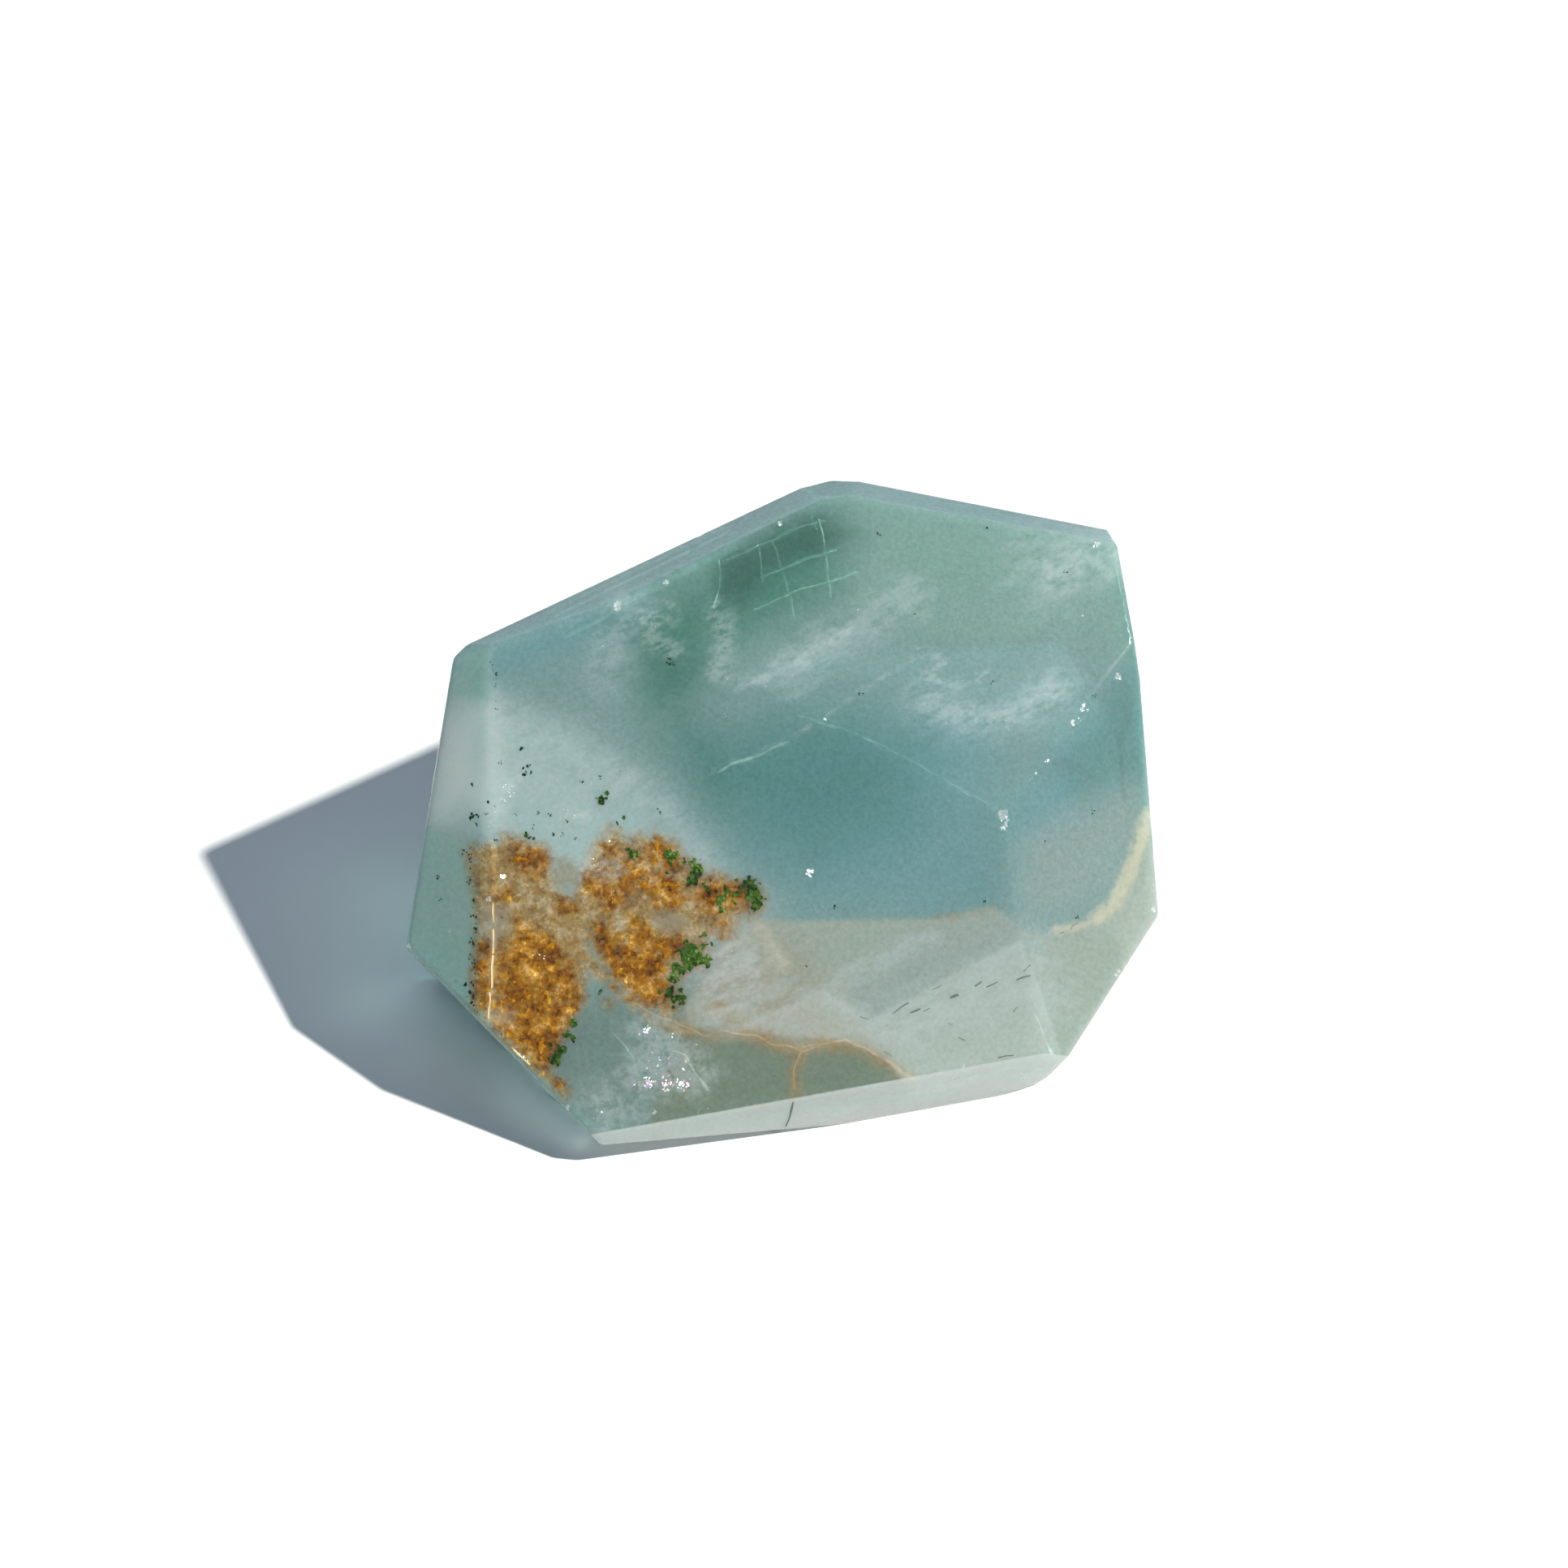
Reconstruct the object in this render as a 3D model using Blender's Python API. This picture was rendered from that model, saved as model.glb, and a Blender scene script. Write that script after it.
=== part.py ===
"""A hand-sized fluorite freeform: one chunk of fluorite, ground flat on a lap and polished.

The stone stands on its resting face, with +Z up and the origin under the middle of its box.
Its two display faces look toward -Y and up. Each ground face is set out the way a lapidary
works: a direction round the stone, a tilt, and how far the face lies from the stone's middle.
"""

import math

import bmesh
import bpy
from mathutils import Vector

MM = 0.001

# The rough that the stone is ground from, and the height of its middle over the resting face.
ROUGH_SIDE = 90 * MM
MIDDLE_HEIGHT = 15 * MM

# Hand polishing leaves every edge between two faces slightly round.
EDGE_ROUND = 0.35 * MM
EDGE_STEPS = 2

# Name; direction in degrees from -Y toward +X; tilt in degrees, where 90 looks straight up and
# a minus sign looks down; distance from the stone's middle in millimetres.
GROUND_FACES = (
    ("lower display face", 13, 47.5, 6.5),
    ("upper display face", 23.5, 55, 7.7),
    ("right-hand display face", 31.5, 46, 10.0),
    ("left bevel", -32, 44, 18.9),
    ("front foot strip", 13, 6.5, 20.2),
    ("top strip, left", -117, 78.5, 20.5),
    ("top strip, middle", 172, 75, 23.7),
    ("top strip, right", 130, 72, 23.4),
    ("front corner flat", 24, -28, 28.3),
    ("left side", -98, 5, 28.8),
    ("right side, upper", 101.5, -1.5, 31.1),
    ("right side, lower", 99, -4.5, 30.5),
    ("back, left", -148, 12, 19.9),
    ("back, right", 178.5, 7.5, 23.9),
    ("back right corner", 138, -12, 33.4),
    ("left undercut", -51, -24.5, 30.7),
    ("right undercut", 68.5, -33, 29.8),
    ("front undercut", 3, -52, 25.2),
    ("back undercut", 170, -38, 24.6),
    ("back left undercut", -122, -14, 26.0),
)


def clear_scene():
    for obj in list(bpy.data.objects):
        bpy.data.objects.remove(obj, do_unlink=True)


def outward(direction, tilt):
    """The unit vector that a face looks along."""
    turn, rise = math.radians(direction), math.radians(tilt)
    level = math.cos(rise)
    return Vector((math.sin(turn) * level, -math.cos(turn) * level, math.sin(rise)))


def grind(stone, normal, distance):
    """Takes off everything that stands past one plane, and closes the stone with a flat face."""
    cut = bmesh.ops.bisect_plane(
        stone,
        geom=stone.verts[:] + stone.edges[:] + stone.faces[:],
        dist=0.001 * MM,
        plane_co=normal * distance,
        plane_no=normal,
        clear_outer=True,
    )
    rim = [item for item in cut["geom_cut"] if isinstance(item, bmesh.types.BMEdge)]
    bmesh.ops.contextual_create(stone, geom=rim)


def ground_stone():
    """The stone's mesh about its middle, with sharp edges."""
    stone = bmesh.new()
    bmesh.ops.create_cube(stone, size=ROUGH_SIDE)
    grind(stone, Vector((0, 0, -1)), MIDDLE_HEIGHT)
    for _, direction, tilt, distance in GROUND_FACES:
        grind(stone, outward(direction, tilt), distance * MM)
    return stone


def soften_edges(stone):
    bmesh.ops.bevel(
        stone,
        geom=stone.edges[:],
        affect="EDGES",
        offset=EDGE_ROUND,
        offset_type="OFFSET",
        segments=EDGE_STEPS,
        profile=0.5,
        clamp_overlap=True,
        material=-1,
    )
    bmesh.ops.recalc_face_normals(stone, faces=stone.faces[:])


def stand_on_origin(stone):
    """Moves the mesh so that the origin is under the middle of its box, on the resting face."""
    low = Vector(min(v.co[axis] for v in stone.verts) for axis in range(3))
    high = Vector(max(v.co[axis] for v in stone.verts) for axis in range(3))
    middle = (low + high) / 2
    bmesh.ops.translate(stone, verts=stone.verts[:], vec=-Vector((middle.x, middle.y, low.z)))


def fluorite():
    """Polished milky teal fluorite."""
    material = bpy.data.materials.new("polished_fluorite")
    material.use_nodes = True
    shader = material.node_tree.nodes["Principled BSDF"]
    shader.inputs["Base Color"].default_value = (0.20, 0.37, 0.35, 1)
    shader.inputs["Roughness"].default_value = 0.08
    shader.inputs["Metallic"].default_value = 0
    shader.inputs["IOR"].default_value = 1.434
    shader.inputs["Transmission Weight"].default_value = 0.5
    return material


def build():
    clear_scene()
    stone = ground_stone()
    soften_edges(stone)
    stand_on_origin(stone)
    mesh = bpy.data.meshes.new("fluorite_chunk")
    stone.to_mesh(mesh)
    stone.free()
    mesh.materials.append(fluorite())
    chunk = bpy.data.objects.new("fluorite_chunk", mesh)
    bpy.context.scene.collection.objects.link(chunk)


build()
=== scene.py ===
# %% [markdown]
# # A polished fluorite freeform
# Fluorite is a soft mineral that grows in clear or cloudy crystals. A lapidary takes a broken
# chunk of it, grinds flat faces on a wheel and polishes them until they shine like glass. What is
# left shows the inside of the crystal: bands of green and blue, white clouds of tiny bubbles,
# flat cleavage cracks, and here a patch of the rusty rock that the crystal grew on.
#
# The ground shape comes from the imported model, which stays fixed. This lesson gives that shape
# its look: a body of milky glass, and inside it the small things that catch the eye. Blender
# works in metres, and the stone is hardly wider than a matchbox is long, so sizes here are
# millimetres times MM.

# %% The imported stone
import math

import bmesh
import bpy
import numpy as np
from mathutils import Euler, Matrix, Vector, kdtree, noise
from mathutils.bvhtree import BVHTree


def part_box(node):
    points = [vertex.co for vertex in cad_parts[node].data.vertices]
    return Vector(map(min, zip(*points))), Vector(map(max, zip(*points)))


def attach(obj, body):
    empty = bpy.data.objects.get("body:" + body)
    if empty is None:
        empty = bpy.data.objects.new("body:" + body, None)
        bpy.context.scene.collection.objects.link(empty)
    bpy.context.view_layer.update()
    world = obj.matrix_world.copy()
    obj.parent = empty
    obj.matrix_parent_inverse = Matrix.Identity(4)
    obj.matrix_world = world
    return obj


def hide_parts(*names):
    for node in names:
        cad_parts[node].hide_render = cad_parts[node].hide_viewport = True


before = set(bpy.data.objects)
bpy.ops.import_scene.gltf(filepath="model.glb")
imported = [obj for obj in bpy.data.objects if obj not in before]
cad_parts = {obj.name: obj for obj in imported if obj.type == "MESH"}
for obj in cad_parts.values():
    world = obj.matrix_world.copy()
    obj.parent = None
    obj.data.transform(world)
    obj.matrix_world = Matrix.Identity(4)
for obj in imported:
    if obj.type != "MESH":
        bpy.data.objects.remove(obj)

MM = 0.001
CHUNK = "fluorite_chunk"
BODY = "root"

scene = bpy.context.scene
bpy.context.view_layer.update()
low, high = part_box(CHUNK)
print("the stone measures", [round(side / MM, 1) for side in high - low], "mm")

# %% [markdown]
# ## The camera
# The picture was taken from in front of the stone and well above it, looking down 44 degrees.
# A camera needs a place, a direction and a lens. Here the place is worked out backwards: from the
# point on the table that the middle of the picture shows, straight back along the line of sight.
# The lens is given as a focal length in pixels, which says the same as millimetres on a sensor
# but is handier here, where all places in the picture are given in pixels.

# %% Camera
PICTURE_SIDE = 1932
FOCAL_PIXELS = 3600
SENSOR_WIDTH = 36
LOOKING_DOWN = math.radians(44)
DISTANCE = 270.6 * MM
PICTURE_MIDDLE = Vector((-0.44, 19.30, 0)) * MM


def add_object(name, data):
    thing = bpy.data.objects.new(name, data)
    scene.collection.objects.link(thing)
    return thing


camera = add_object("camera", bpy.data.cameras.new("camera"))
toward_camera = Vector((0, -math.cos(LOOKING_DOWN), math.sin(LOOKING_DOWN)))
camera.location = PICTURE_MIDDLE + toward_camera * DISTANCE
camera.rotation_euler = (math.pi / 2 - LOOKING_DOWN, 0, 0)
camera.data.sensor_width = SENSOR_WIDTH
camera.data.lens = SENSOR_WIDTH * FOCAL_PIXELS / PICTURE_SIDE
camera.data.clip_start = 10 * MM
scene.camera = camera
bpy.context.view_layer.update()
print("lens", round(camera.data.lens, 1), "mm")

# %% [markdown]
# ## Table and light
# A stone this glossy mirrors whatever is round it, so its surroundings matter as much as its
# material. A pale matt table gives it something to glow against. One round lamp, from the right
# and half way up the sky, makes the clear shadow on the left. A wide pale panel behind the stone
# is there to be mirrored: the narrow faces along the top tilt away from the lamp, and without the
# panel they would look dull. The room's own light is cool, which leaves the shadow blue-grey.

# %% Table
TABLE_SIZE = 3000 * MM
TABLE_GAP = 0.05 * MM  # so that the table and the resting face don't fight for the same place


def srgb(red, green, blue):
    """A colour as a paint program shows it, from 0 to 255, in the values that a shader reads."""
    def linear(value):
        share = value / 255
        return share / 12.92 if share <= 0.04045 else ((share + 0.055) / 1.055) ** 2.4

    return (linear(red), linear(green), linear(blue), 1)


def plain_material(name, colour, roughness):
    material = bpy.data.materials.new(name)
    material.use_nodes = True
    shader = material.node_tree.nodes["Principled BSDF"]
    shader.inputs["Base Color"].default_value = colour
    shader.inputs["Roughness"].default_value = roughness
    return material


def mesh_object(name, shape, material):
    """Turns a bmesh into an object at the origin, and frees the bmesh."""
    mesh = bpy.data.meshes.new(name)
    shape.to_mesh(mesh)
    shape.free()
    mesh.materials.append(material)
    return add_object(name, mesh)


top = bmesh.new()
bmesh.ops.create_grid(top, x_segments=1, y_segments=1, size=TABLE_SIZE / 2)
table = mesh_object("table", top, plain_material("white_table", srgb(240, 241, 240), 0.6))
table.location.z = -TABLE_GAP

# %% Light
LAMP_SIDE = math.radians(75)
LAMP_HEIGHT = math.radians(50)
LAMP_DISTANCE = 1200 * MM
LAMP_ACROSS = 40 * MM
LAMP_POWER = 24
PANEL_SIDE = math.radians(-165)
PANEL_HEIGHT = math.radians(32)
PANEL_DISTANCE = 700 * MM
PANEL_ACROSS = 500 * MM
PANEL_POWER = 0.22
ROOM_LIGHT = 0.30
COOL_WHITE = (0.64, 0.80, 1, 1)


def hang_lamp(name, side, height, distance, across, power, colour):
    """A round lamp that shines at the stone. Side is counted from straight in front to the right."""
    lamp = add_object(name, bpy.data.lights.new(name, "AREA"))
    level = math.cos(height)
    away = Vector((math.sin(side) * level, -math.cos(side) * level, math.sin(height)))
    lamp.location = away * distance
    lamp.rotation_euler = away.to_track_quat("Z", "Y").to_euler()
    lamp.data.shape = "DISK"
    lamp.data.size = across
    lamp.data.energy = power
    lamp.data.color = colour
    return lamp


key_lamp = hang_lamp(
    "key_lamp", LAMP_SIDE, LAMP_HEIGHT, LAMP_DISTANCE, LAMP_ACROSS, LAMP_POWER, (1, 0.97, 0.92)
)
key_lamp.visible_transmission = False  # a milky stone throws no bright spot on the table
hang_lamp("pale_panel", PANEL_SIDE, PANEL_HEIGHT, PANEL_DISTANCE, PANEL_ACROSS, PANEL_POWER, (1, 1, 1))
room = bpy.data.worlds.new("room")
room.use_nodes = True
room.node_tree.nodes["Background"].inputs["Color"].default_value = COOL_WHITE
room.node_tree.nodes["Background"].inputs["Strength"].default_value = ROOM_LIGHT
scene.world = room
scene.view_settings.view_transform = "Standard"

# %% [markdown]
# ## Finding a place on the stone
# Almost every mark on this stone is placed from the picture: a white cloud here, a rusty
# vein there. So the lesson needs one helper that turns a spot in the picture into a spot on the
# stone. It sends a line from the camera through the pixel and asks where that line meets the
# ground faces. For something inside the stone the line has to bend, as light does when it enters
# glass, or the thing would show up beside its place. Snell's law gives the bend.
#
# No picture shows the back. Its marks are made up, in the same way: they are given as pixels of
# an imagined picture, which the same camera takes from straight behind the stone.

# %% A pixel becomes a place
REFRACTION = 1.434  # fluorite bends light less than window glass does
SAME_POINT = 0.001 * MM
SAME_PLANE = math.radians(0.5)
NEAR_CORNER = (1235, 1003)
FRONT = camera.matrix_world.copy()
BEHIND = Matrix.Rotation(math.pi, 4, "Z") @ FRONT


def merged(mesh):
    """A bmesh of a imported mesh, with its loose triangles joined at their corners."""
    shape = bmesh.new()
    shape.from_mesh(mesh)
    bmesh.ops.remove_doubles(shape, verts=shape.verts[:], dist=SAME_POINT)
    return shape


def unfold(shape):
    """Joins the triangles of each flat face into one face."""
    bmesh.ops.dissolve_limit(shape, angle_limit=SAME_PLANE, verts=shape.verts[:], edges=shape.edges[:])
    return shape


ground_stone = unfold(merged(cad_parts[CHUNK].data))
ground_faces = [(np.array(face.normal), face.calc_center_median()) for face in ground_stone.faces]
skin = BVHTree.FromBMesh(ground_stone)


def place(pixel, depth=0.0, eye=FRONT):
    """The place in the stone that shows at this pixel, at a depth along the bent line of sight."""
    right, down = (Vector(pixel) - Vector((1, 1)) * PICTURE_SIDE / 2) / FOCAL_PIXELS
    sight = (eye.to_3x3() @ Vector((right, -down, -1))).normalized()
    entry, outward, _, _ = skin.ray_cast(eye.translation, sight)
    if entry is None:  # the pixel lies beside the stone, so the nearest spot on it will do
        entry, outward, _, _ = skin.find_nearest(eye.translation + sight * DISTANCE)
        return entry - outward * depth
    slant = -outward.dot(sight)
    bend = 1 / REFRACTION
    inward = bend * sight + (bend * slant - math.sqrt(1 - bend**2 * (1 - slant**2))) * outward
    return entry + inward * depth


print(len(ground_faces), "flat faces, rounded edges among them")
print("the near corner lies at", [round(c / MM, 1) for c in place(NEAR_CORNER)], "mm")

# %% [markdown]
# ## The polished body
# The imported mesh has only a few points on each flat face, which is all that a flat face needs.
# Two things here need more. The edges of a soft stone like this one are never whole: they have
# small shell-shaped chips, and a chip can only be pressed in where there are points to move. And
# the colours are washed onto the points, so the points must lie close together. The mesh is
# first sliced by level and upright planes, like a cake, and then every edge that is still too
# long is halved. Cutting a flat face leaves it flat, so the ground shape doesn't change. The
# faces that the picture shows are made finer than the hidden ones.

# %% A finer mesh
SLICE = 2.0 * MM
FINE, COARSE = 0.45 * MM, 0.7 * MM
HALVINGS = 3
TOUCHING = 0.02 * MM


def slice_up(shape, size):
    """Cuts a mesh along level and upright planes, with no cell wider than size."""
    for axis in range(3):
        across = Vector([float(axis == other) for other in range(3)])
        cuts = int((high - low)[axis] / size)
        for cut in range(1, cuts + 1):
            bmesh.ops.bisect_plane(
                shape,
                geom=shape.verts[:] + shape.edges[:] + shape.faces[:],
                dist=TOUCHING,
                plane_co=low + across * (high - low)[axis] * cut / (cuts + 1),
                plane_no=across,
            )
    bmesh.ops.triangulate(shape, faces=[face for face in shape.faces if len(face.verts) > 3])


def halve(shape, edges):
    bmesh.ops.subdivide_edges(shape, edges=edges, cuts=1)
    bmesh.ops.triangulate(shape, faces=[face for face in shape.faces if len(face.verts) > 3])


def seen(edge):
    """True if the picture shows a face beside this edge."""
    return any(face.normal.dot(toward_camera) > 0 for face in edge.link_faces)


stone = ground_stone.copy()
slice_up(stone, SLICE)
for _ in range(HALVINGS):
    halve(stone, [edge for edge in stone.edges if edge.calc_length() > (FINE if seen(edge) else COARSE)])
print("the fine mesh has", len(stone.faces), "faces")

# %% [markdown]
# ## Chipped edges
# Fluorite splits easily, so its edges lose small flakes when it is handled. Each loss leaves a
# shallow hollow like the inside of a shell. A hollow could be cut with a Boolean, but for a few
# dozen of them it is simpler to think of a ball that sits just outside the edge: every point of
# the mesh that lies in the ball is pushed out to the ball's surface. Three balls of different
# sizes overlap in each chip, so that no two chips look alike.

# %% Press the chips in
# The pixel of each chip, its radius and its bite in millimetres
CHIPS = (
    ((822, 718), 0.30, 0.10), ((962, 646), 0.35, 0.10), ((760, 745), 0.40, 0.12),
    ((1236, 1003), 0.45, 0.22), ((1240, 1018), 0.35, 0.12), ((1277, 951), 0.20, 0.06),
    ((1290, 938), 0.22, 0.06), ((1322, 890), 0.22, 0.06), ((1335, 873), 0.30, 0.08),
    ((1378, 832), 0.30, 0.08), ((1352, 672), 0.30, 0.08), ((602, 1108), 0.30, 0.08),
    ((642, 1300), 0.26, 0.07), ((700, 1366), 0.22, 0.06), ((806, 1370), 0.20, 0.05),
    ((1190, 1316), 0.35, 0.09), ((1262, 1324), 0.30, 0.08), ((505, 1168), 0.34, 0.11),
    ((1376, 1200), 0.34, 0.10), ((1420, 1120), 0.24, 0.07),
)
SPREAD_PIXELS = 5  # for each millimetre of radius
SMALLEST_BALL = 0.45  # as a share of the chip's radius
BITES = 3
HIDDEN_CHIPS = 22
HIDDEN_RADIUS = (0.22, 0.5)
HIDDEN_SMALLEST_BALL = 0.5
HIDDEN_BITE, HIDDEN_SPREAD = 0.3, 0.25  # as shares of the radius
LONG_EDGE = 4 * MM
FOOT = 3 * MM  # an edge that lies lower than this stays whole
CHIP_MESH = 0.10 * MM
CHIP_HALVINGS = 2
ROUND_CHIP = 1.2  # the finer mesh reaches a little past each hollow
SLIVER = 0.0001 * MM


def chip_ball(spot, radius, bite):
    """The middle and the radius of the ball whose surface is the hollow."""
    return spot + skin.find_nearest(spot)[1] * (radius - bite) * MM, radius * MM


luck = np.random.default_rng(3)
balls = []
for (across, down), radius, bite in CHIPS:
    for _ in range(BITES):
        size = luck.uniform(SMALLEST_BALL, 1)
        pixel = (across, down) + luck.normal(0, SPREAD_PIXELS * radius, 2)
        balls.append(chip_ball(place(pixel), radius * size, bite * size))
hidden_edges = [
    edge for edge in ground_stone.edges
    if not seen(edge) and edge.calc_length() > LONG_EDGE and max(vert.co.z for vert in edge.verts) > FOOT
]
for number in luck.integers(len(hidden_edges), size=HIDDEN_CHIPS):
    one_end, other_end = (vert.co for vert in hidden_edges[number].verts)
    spot = one_end.lerp(other_end, luck.uniform())
    radius = luck.uniform(*HIDDEN_RADIUS)
    for _ in range(BITES):
        size = luck.uniform(HIDDEN_SMALLEST_BALL, 1) * radius
        astray = Vector(luck.normal(0, HIDDEN_SPREAD * radius, 3)) * MM
        balls.append(chip_ball(spot + astray, size, HIDDEN_BITE * size))
ball_map = kdtree.KDTree(len(balls))
for number, (middle, _) in enumerate(balls):
    ball_map.insert(middle, number)
ball_map.balance()


def in_chip(spot, margin=1.0):
    """The ball that a spot lies in, as its middle and radius, or None."""
    _, number, distance = ball_map.find(spot)
    return balls[number] if distance < balls[number][1] * margin else None


for _ in range(CHIP_HALVINGS):
    coarse = [edge for edge in stone.edges if edge.calc_length() > CHIP_MESH]
    halve(stone, [edge for edge in coarse if in_chip(edge.verts[0].co, ROUND_CHIP)])
for vert in stone.verts:
    if ball := in_chip(vert.co):
        middle, radius = ball
        vert.co = middle + (vert.co - middle).normalized() * radius
bmesh.ops.dissolve_degenerate(stone, dist=SLIVER, edges=stone.edges[:])
whole = all(edge.is_manifold for edge in stone.edges)
print(len(balls), "balls pressed in; the body has", len(stone.faces), "faces")
print("the body is", "closed" if whole else "open")

# %% [markdown]
# ## Washes of colour
# The crystal grew in layers, and each layer took up a little more or less of what colours it: a
# blue zone, a dark green one, milky ones, a pale corner. Such zones have soft or ragged edges
# that no simple shader pattern would put in the right place. So they are laid in one by one, the
# way a painter lays in washes: a patch has an outline, a streak has a line and a width, all given
# as pixels of the picture. Each point of the mesh looks up where it falls in the picture, and
# keeps how deep inside the wash it lies: 1 well inside, 0.5 on the edge, 0 well outside. The
# shader will later sharpen or fray that edge. Because a point on the back of the stone falls in
# the picture too, the zones run right through the stone, as grown zones do. Streaks are thinner,
# so they show only faintly on the back, which gets streaks of its own from the imagined picture.
# Not every wash is grown colour. The glow and shade of the left facet, the sheen of the narrow top faces,
# the pale foot face, a darker band along the right outline and a pale streak on the left edge over the rust
# are painted light and shade.

# %% From the stone to the picture
ON_THE_EDGE = 0.5  # the depth of a point on the outline of a wash
BACK_SHARE = 0.35  # how strongly a streak of the front shows on the back
CHIP_RIM = 1.02  # the wash of a chip reaches just past its rim


def picture_of(spots, eye=FRONT):
    """Where places on the stone fall in the picture, in pixels."""
    local = (spots - np.array(eye.translation)) @ np.array(eye.to_3x3())
    return PICTURE_SIDE / 2 + FOCAL_PIXELS * local[:, :2] / -local[:, 2:] * (1, -1)


def line_distance(pixels, line):
    """How far pixels lie from a line of straight stretches."""
    nearest = np.full(len(pixels), np.inf)
    for start, end in zip(np.array(line, float), np.array(line[1:], float)):
        along = end - start
        share = np.clip((pixels - start) @ along / (along @ along), 0, 1)
        nearest = np.minimum(nearest, np.linalg.norm(pixels - start - share[:, None] * along, axis=1))
    return nearest


def within(pixels, outline):
    """True for the pixels inside a closed outline."""
    inside = np.zeros(len(pixels), bool)
    x, y = pixels[:, 0], pixels[:, 1]
    for (x0, y0), (x1, y1) in zip(outline, outline[1:] + outline[:1]):
        if y0 != y1:
            inside ^= ((y0 > y) != (y1 > y)) & (x < (x1 - x0) * (y - y0) / (y1 - y0) + x0)
    return inside


def patch(pixels, outline, softness):
    """How deep pixels lie inside an outline: 0.5 on it, 1 when softness pixels inside."""
    gap = line_distance(pixels, outline + outline[:1])
    return np.clip(ON_THE_EDGE + np.where(within(pixels, outline), gap, -gap) / softness / 2, 0, 1)


def streak(pixels, line, width):
    """The same for a line with a width: 1 on the line, 0.5 at half its width."""
    return np.clip(1 - line_distance(pixels, line) / width, 0, 1)


# %% Where the rust is
# Outlines of the rusty masses, in pixels
RUST = (
    [(634, 1044), (645, 1046), (670, 1045), (677, 1057), (667, 1078), (653, 1084), (639, 1073),
     (633, 1060)],
    [(588, 1163), (606, 1161), (608, 1211), (606, 1243), (589, 1239), (584, 1205)],
    [(626, 1161), (637, 1152), (630, 1133), (638, 1126), (653, 1141), (667, 1152), (681, 1161),
     (694, 1177), (705, 1191), (715, 1211), (717, 1229), (709, 1250), (698, 1265), (690, 1282),
     (681, 1301), (673, 1321), (659, 1314), (639, 1291), (620, 1275), (608, 1264), (609, 1239),
     (612, 1211), (615, 1183)],
    [(719, 1080), (737, 1078), (754, 1085), (766, 1080), (772, 1060), (793, 1064), (807, 1076),
     (821, 1078), (837, 1092), (844, 1108), (832, 1120), (815, 1123), (801, 1106), (784, 1091),
     (773, 1106), (765, 1117), (748, 1121), (734, 1112), (723, 1098)],
    [(807, 1034), (821, 1039), (837, 1055), (846, 1066), (837, 1076), (815, 1067), (790, 1059),
     (800, 1044)],
    [(854, 1110), (869, 1090), (887, 1083), (914, 1092), (917, 1105), (901, 1117), (890, 1129),
     (873, 1126), (860, 1120)],
    [(773, 1123), (787, 1130), (802, 1141), (807, 1154), (826, 1154), (841, 1156), (836, 1170),
     (821, 1183), (816, 1197), (822, 1216), (816, 1234), (801, 1240), (782, 1232), (769, 1212),
     (755, 1200), (747, 1183), (733, 1162), (730, 1142), (748, 1140), (762, 1155), (772, 1149)],
    [(687, 1116), (695, 1105), (709, 1110), (712, 1119), (701, 1124), (690, 1127)],
    [(683, 1329), (698, 1337), (701, 1348), (687, 1342)],
    [(892, 1137), (902, 1137), (902, 1152), (892, 1152)],
    [(746, 1234), (755, 1234), (755, 1240), (747, 1240)],
    [(743, 1043), (757, 1043), (757, 1054), (745, 1053)],
    [(610, 1095), (626, 1095), (634, 1108), (623, 1114), (612, 1108)],
    [(659, 1152), (673, 1149), (688, 1163), (690, 1172), (673, 1169), (662, 1161)],
)

# %% The grown zones
# The stained rock round the rust, and milky spots in it
STAINED = (
    [(573, 1049), (588, 1041), (612, 1039), (623, 1027), (639, 1033), (665, 1041), (679, 1052),
     (679, 1070), (687, 1094), (698, 1105), (709, 1116), (720, 1116), (734, 1138), (724, 1161),
     (737, 1183), (754, 1200), (770, 1227), (793, 1248), (809, 1257), (840, 1262), (851, 1272),
     (832, 1275), (807, 1262), (784, 1243), (765, 1229), (747, 1211), (720, 1197), (722, 1227),
     (711, 1247), (699, 1266), (688, 1289), (677, 1321), (694, 1336), (699, 1353), (676, 1332),
     (658, 1315), (633, 1293), (610, 1273), (602, 1261), (582, 1241), (585, 1211), (587, 1155),
     (585, 1116), (580, 1080)],
    [(709, 1099), (720, 1064), (737, 1034), (754, 1018), (773, 1031), (809, 1028), (830, 1035),
     (841, 1052), (858, 1066), (887, 1077), (917, 1090), (939, 1094), (941, 1117), (929, 1129),
     (912, 1129), (903, 1138), (900, 1156), (876, 1156), (875, 1172), (872, 1193), (848, 1197),
     (832, 1212), (839, 1227), (837, 1248), (821, 1255), (805, 1243), (782, 1232), (765, 1212),
     (747, 1193), (730, 1168), (722, 1138), (708, 1122)],
)
MILKY_SPOTS = (
    [(681, 1064), (698, 1057), (715, 1066), (716, 1080), (706, 1094), (690, 1094), (681, 1083)],
    [(609, 1247), (623, 1241), (634, 1248), (633, 1258), (619, 1261)],
    [(805, 1129), (823, 1124), (844, 1129), (847, 1141), (829, 1148), (809, 1144)],
    [(594, 1116), (609, 1112), (628, 1122), (630, 1141), (623, 1152), (609, 1155), (591, 1152)],
)
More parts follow.
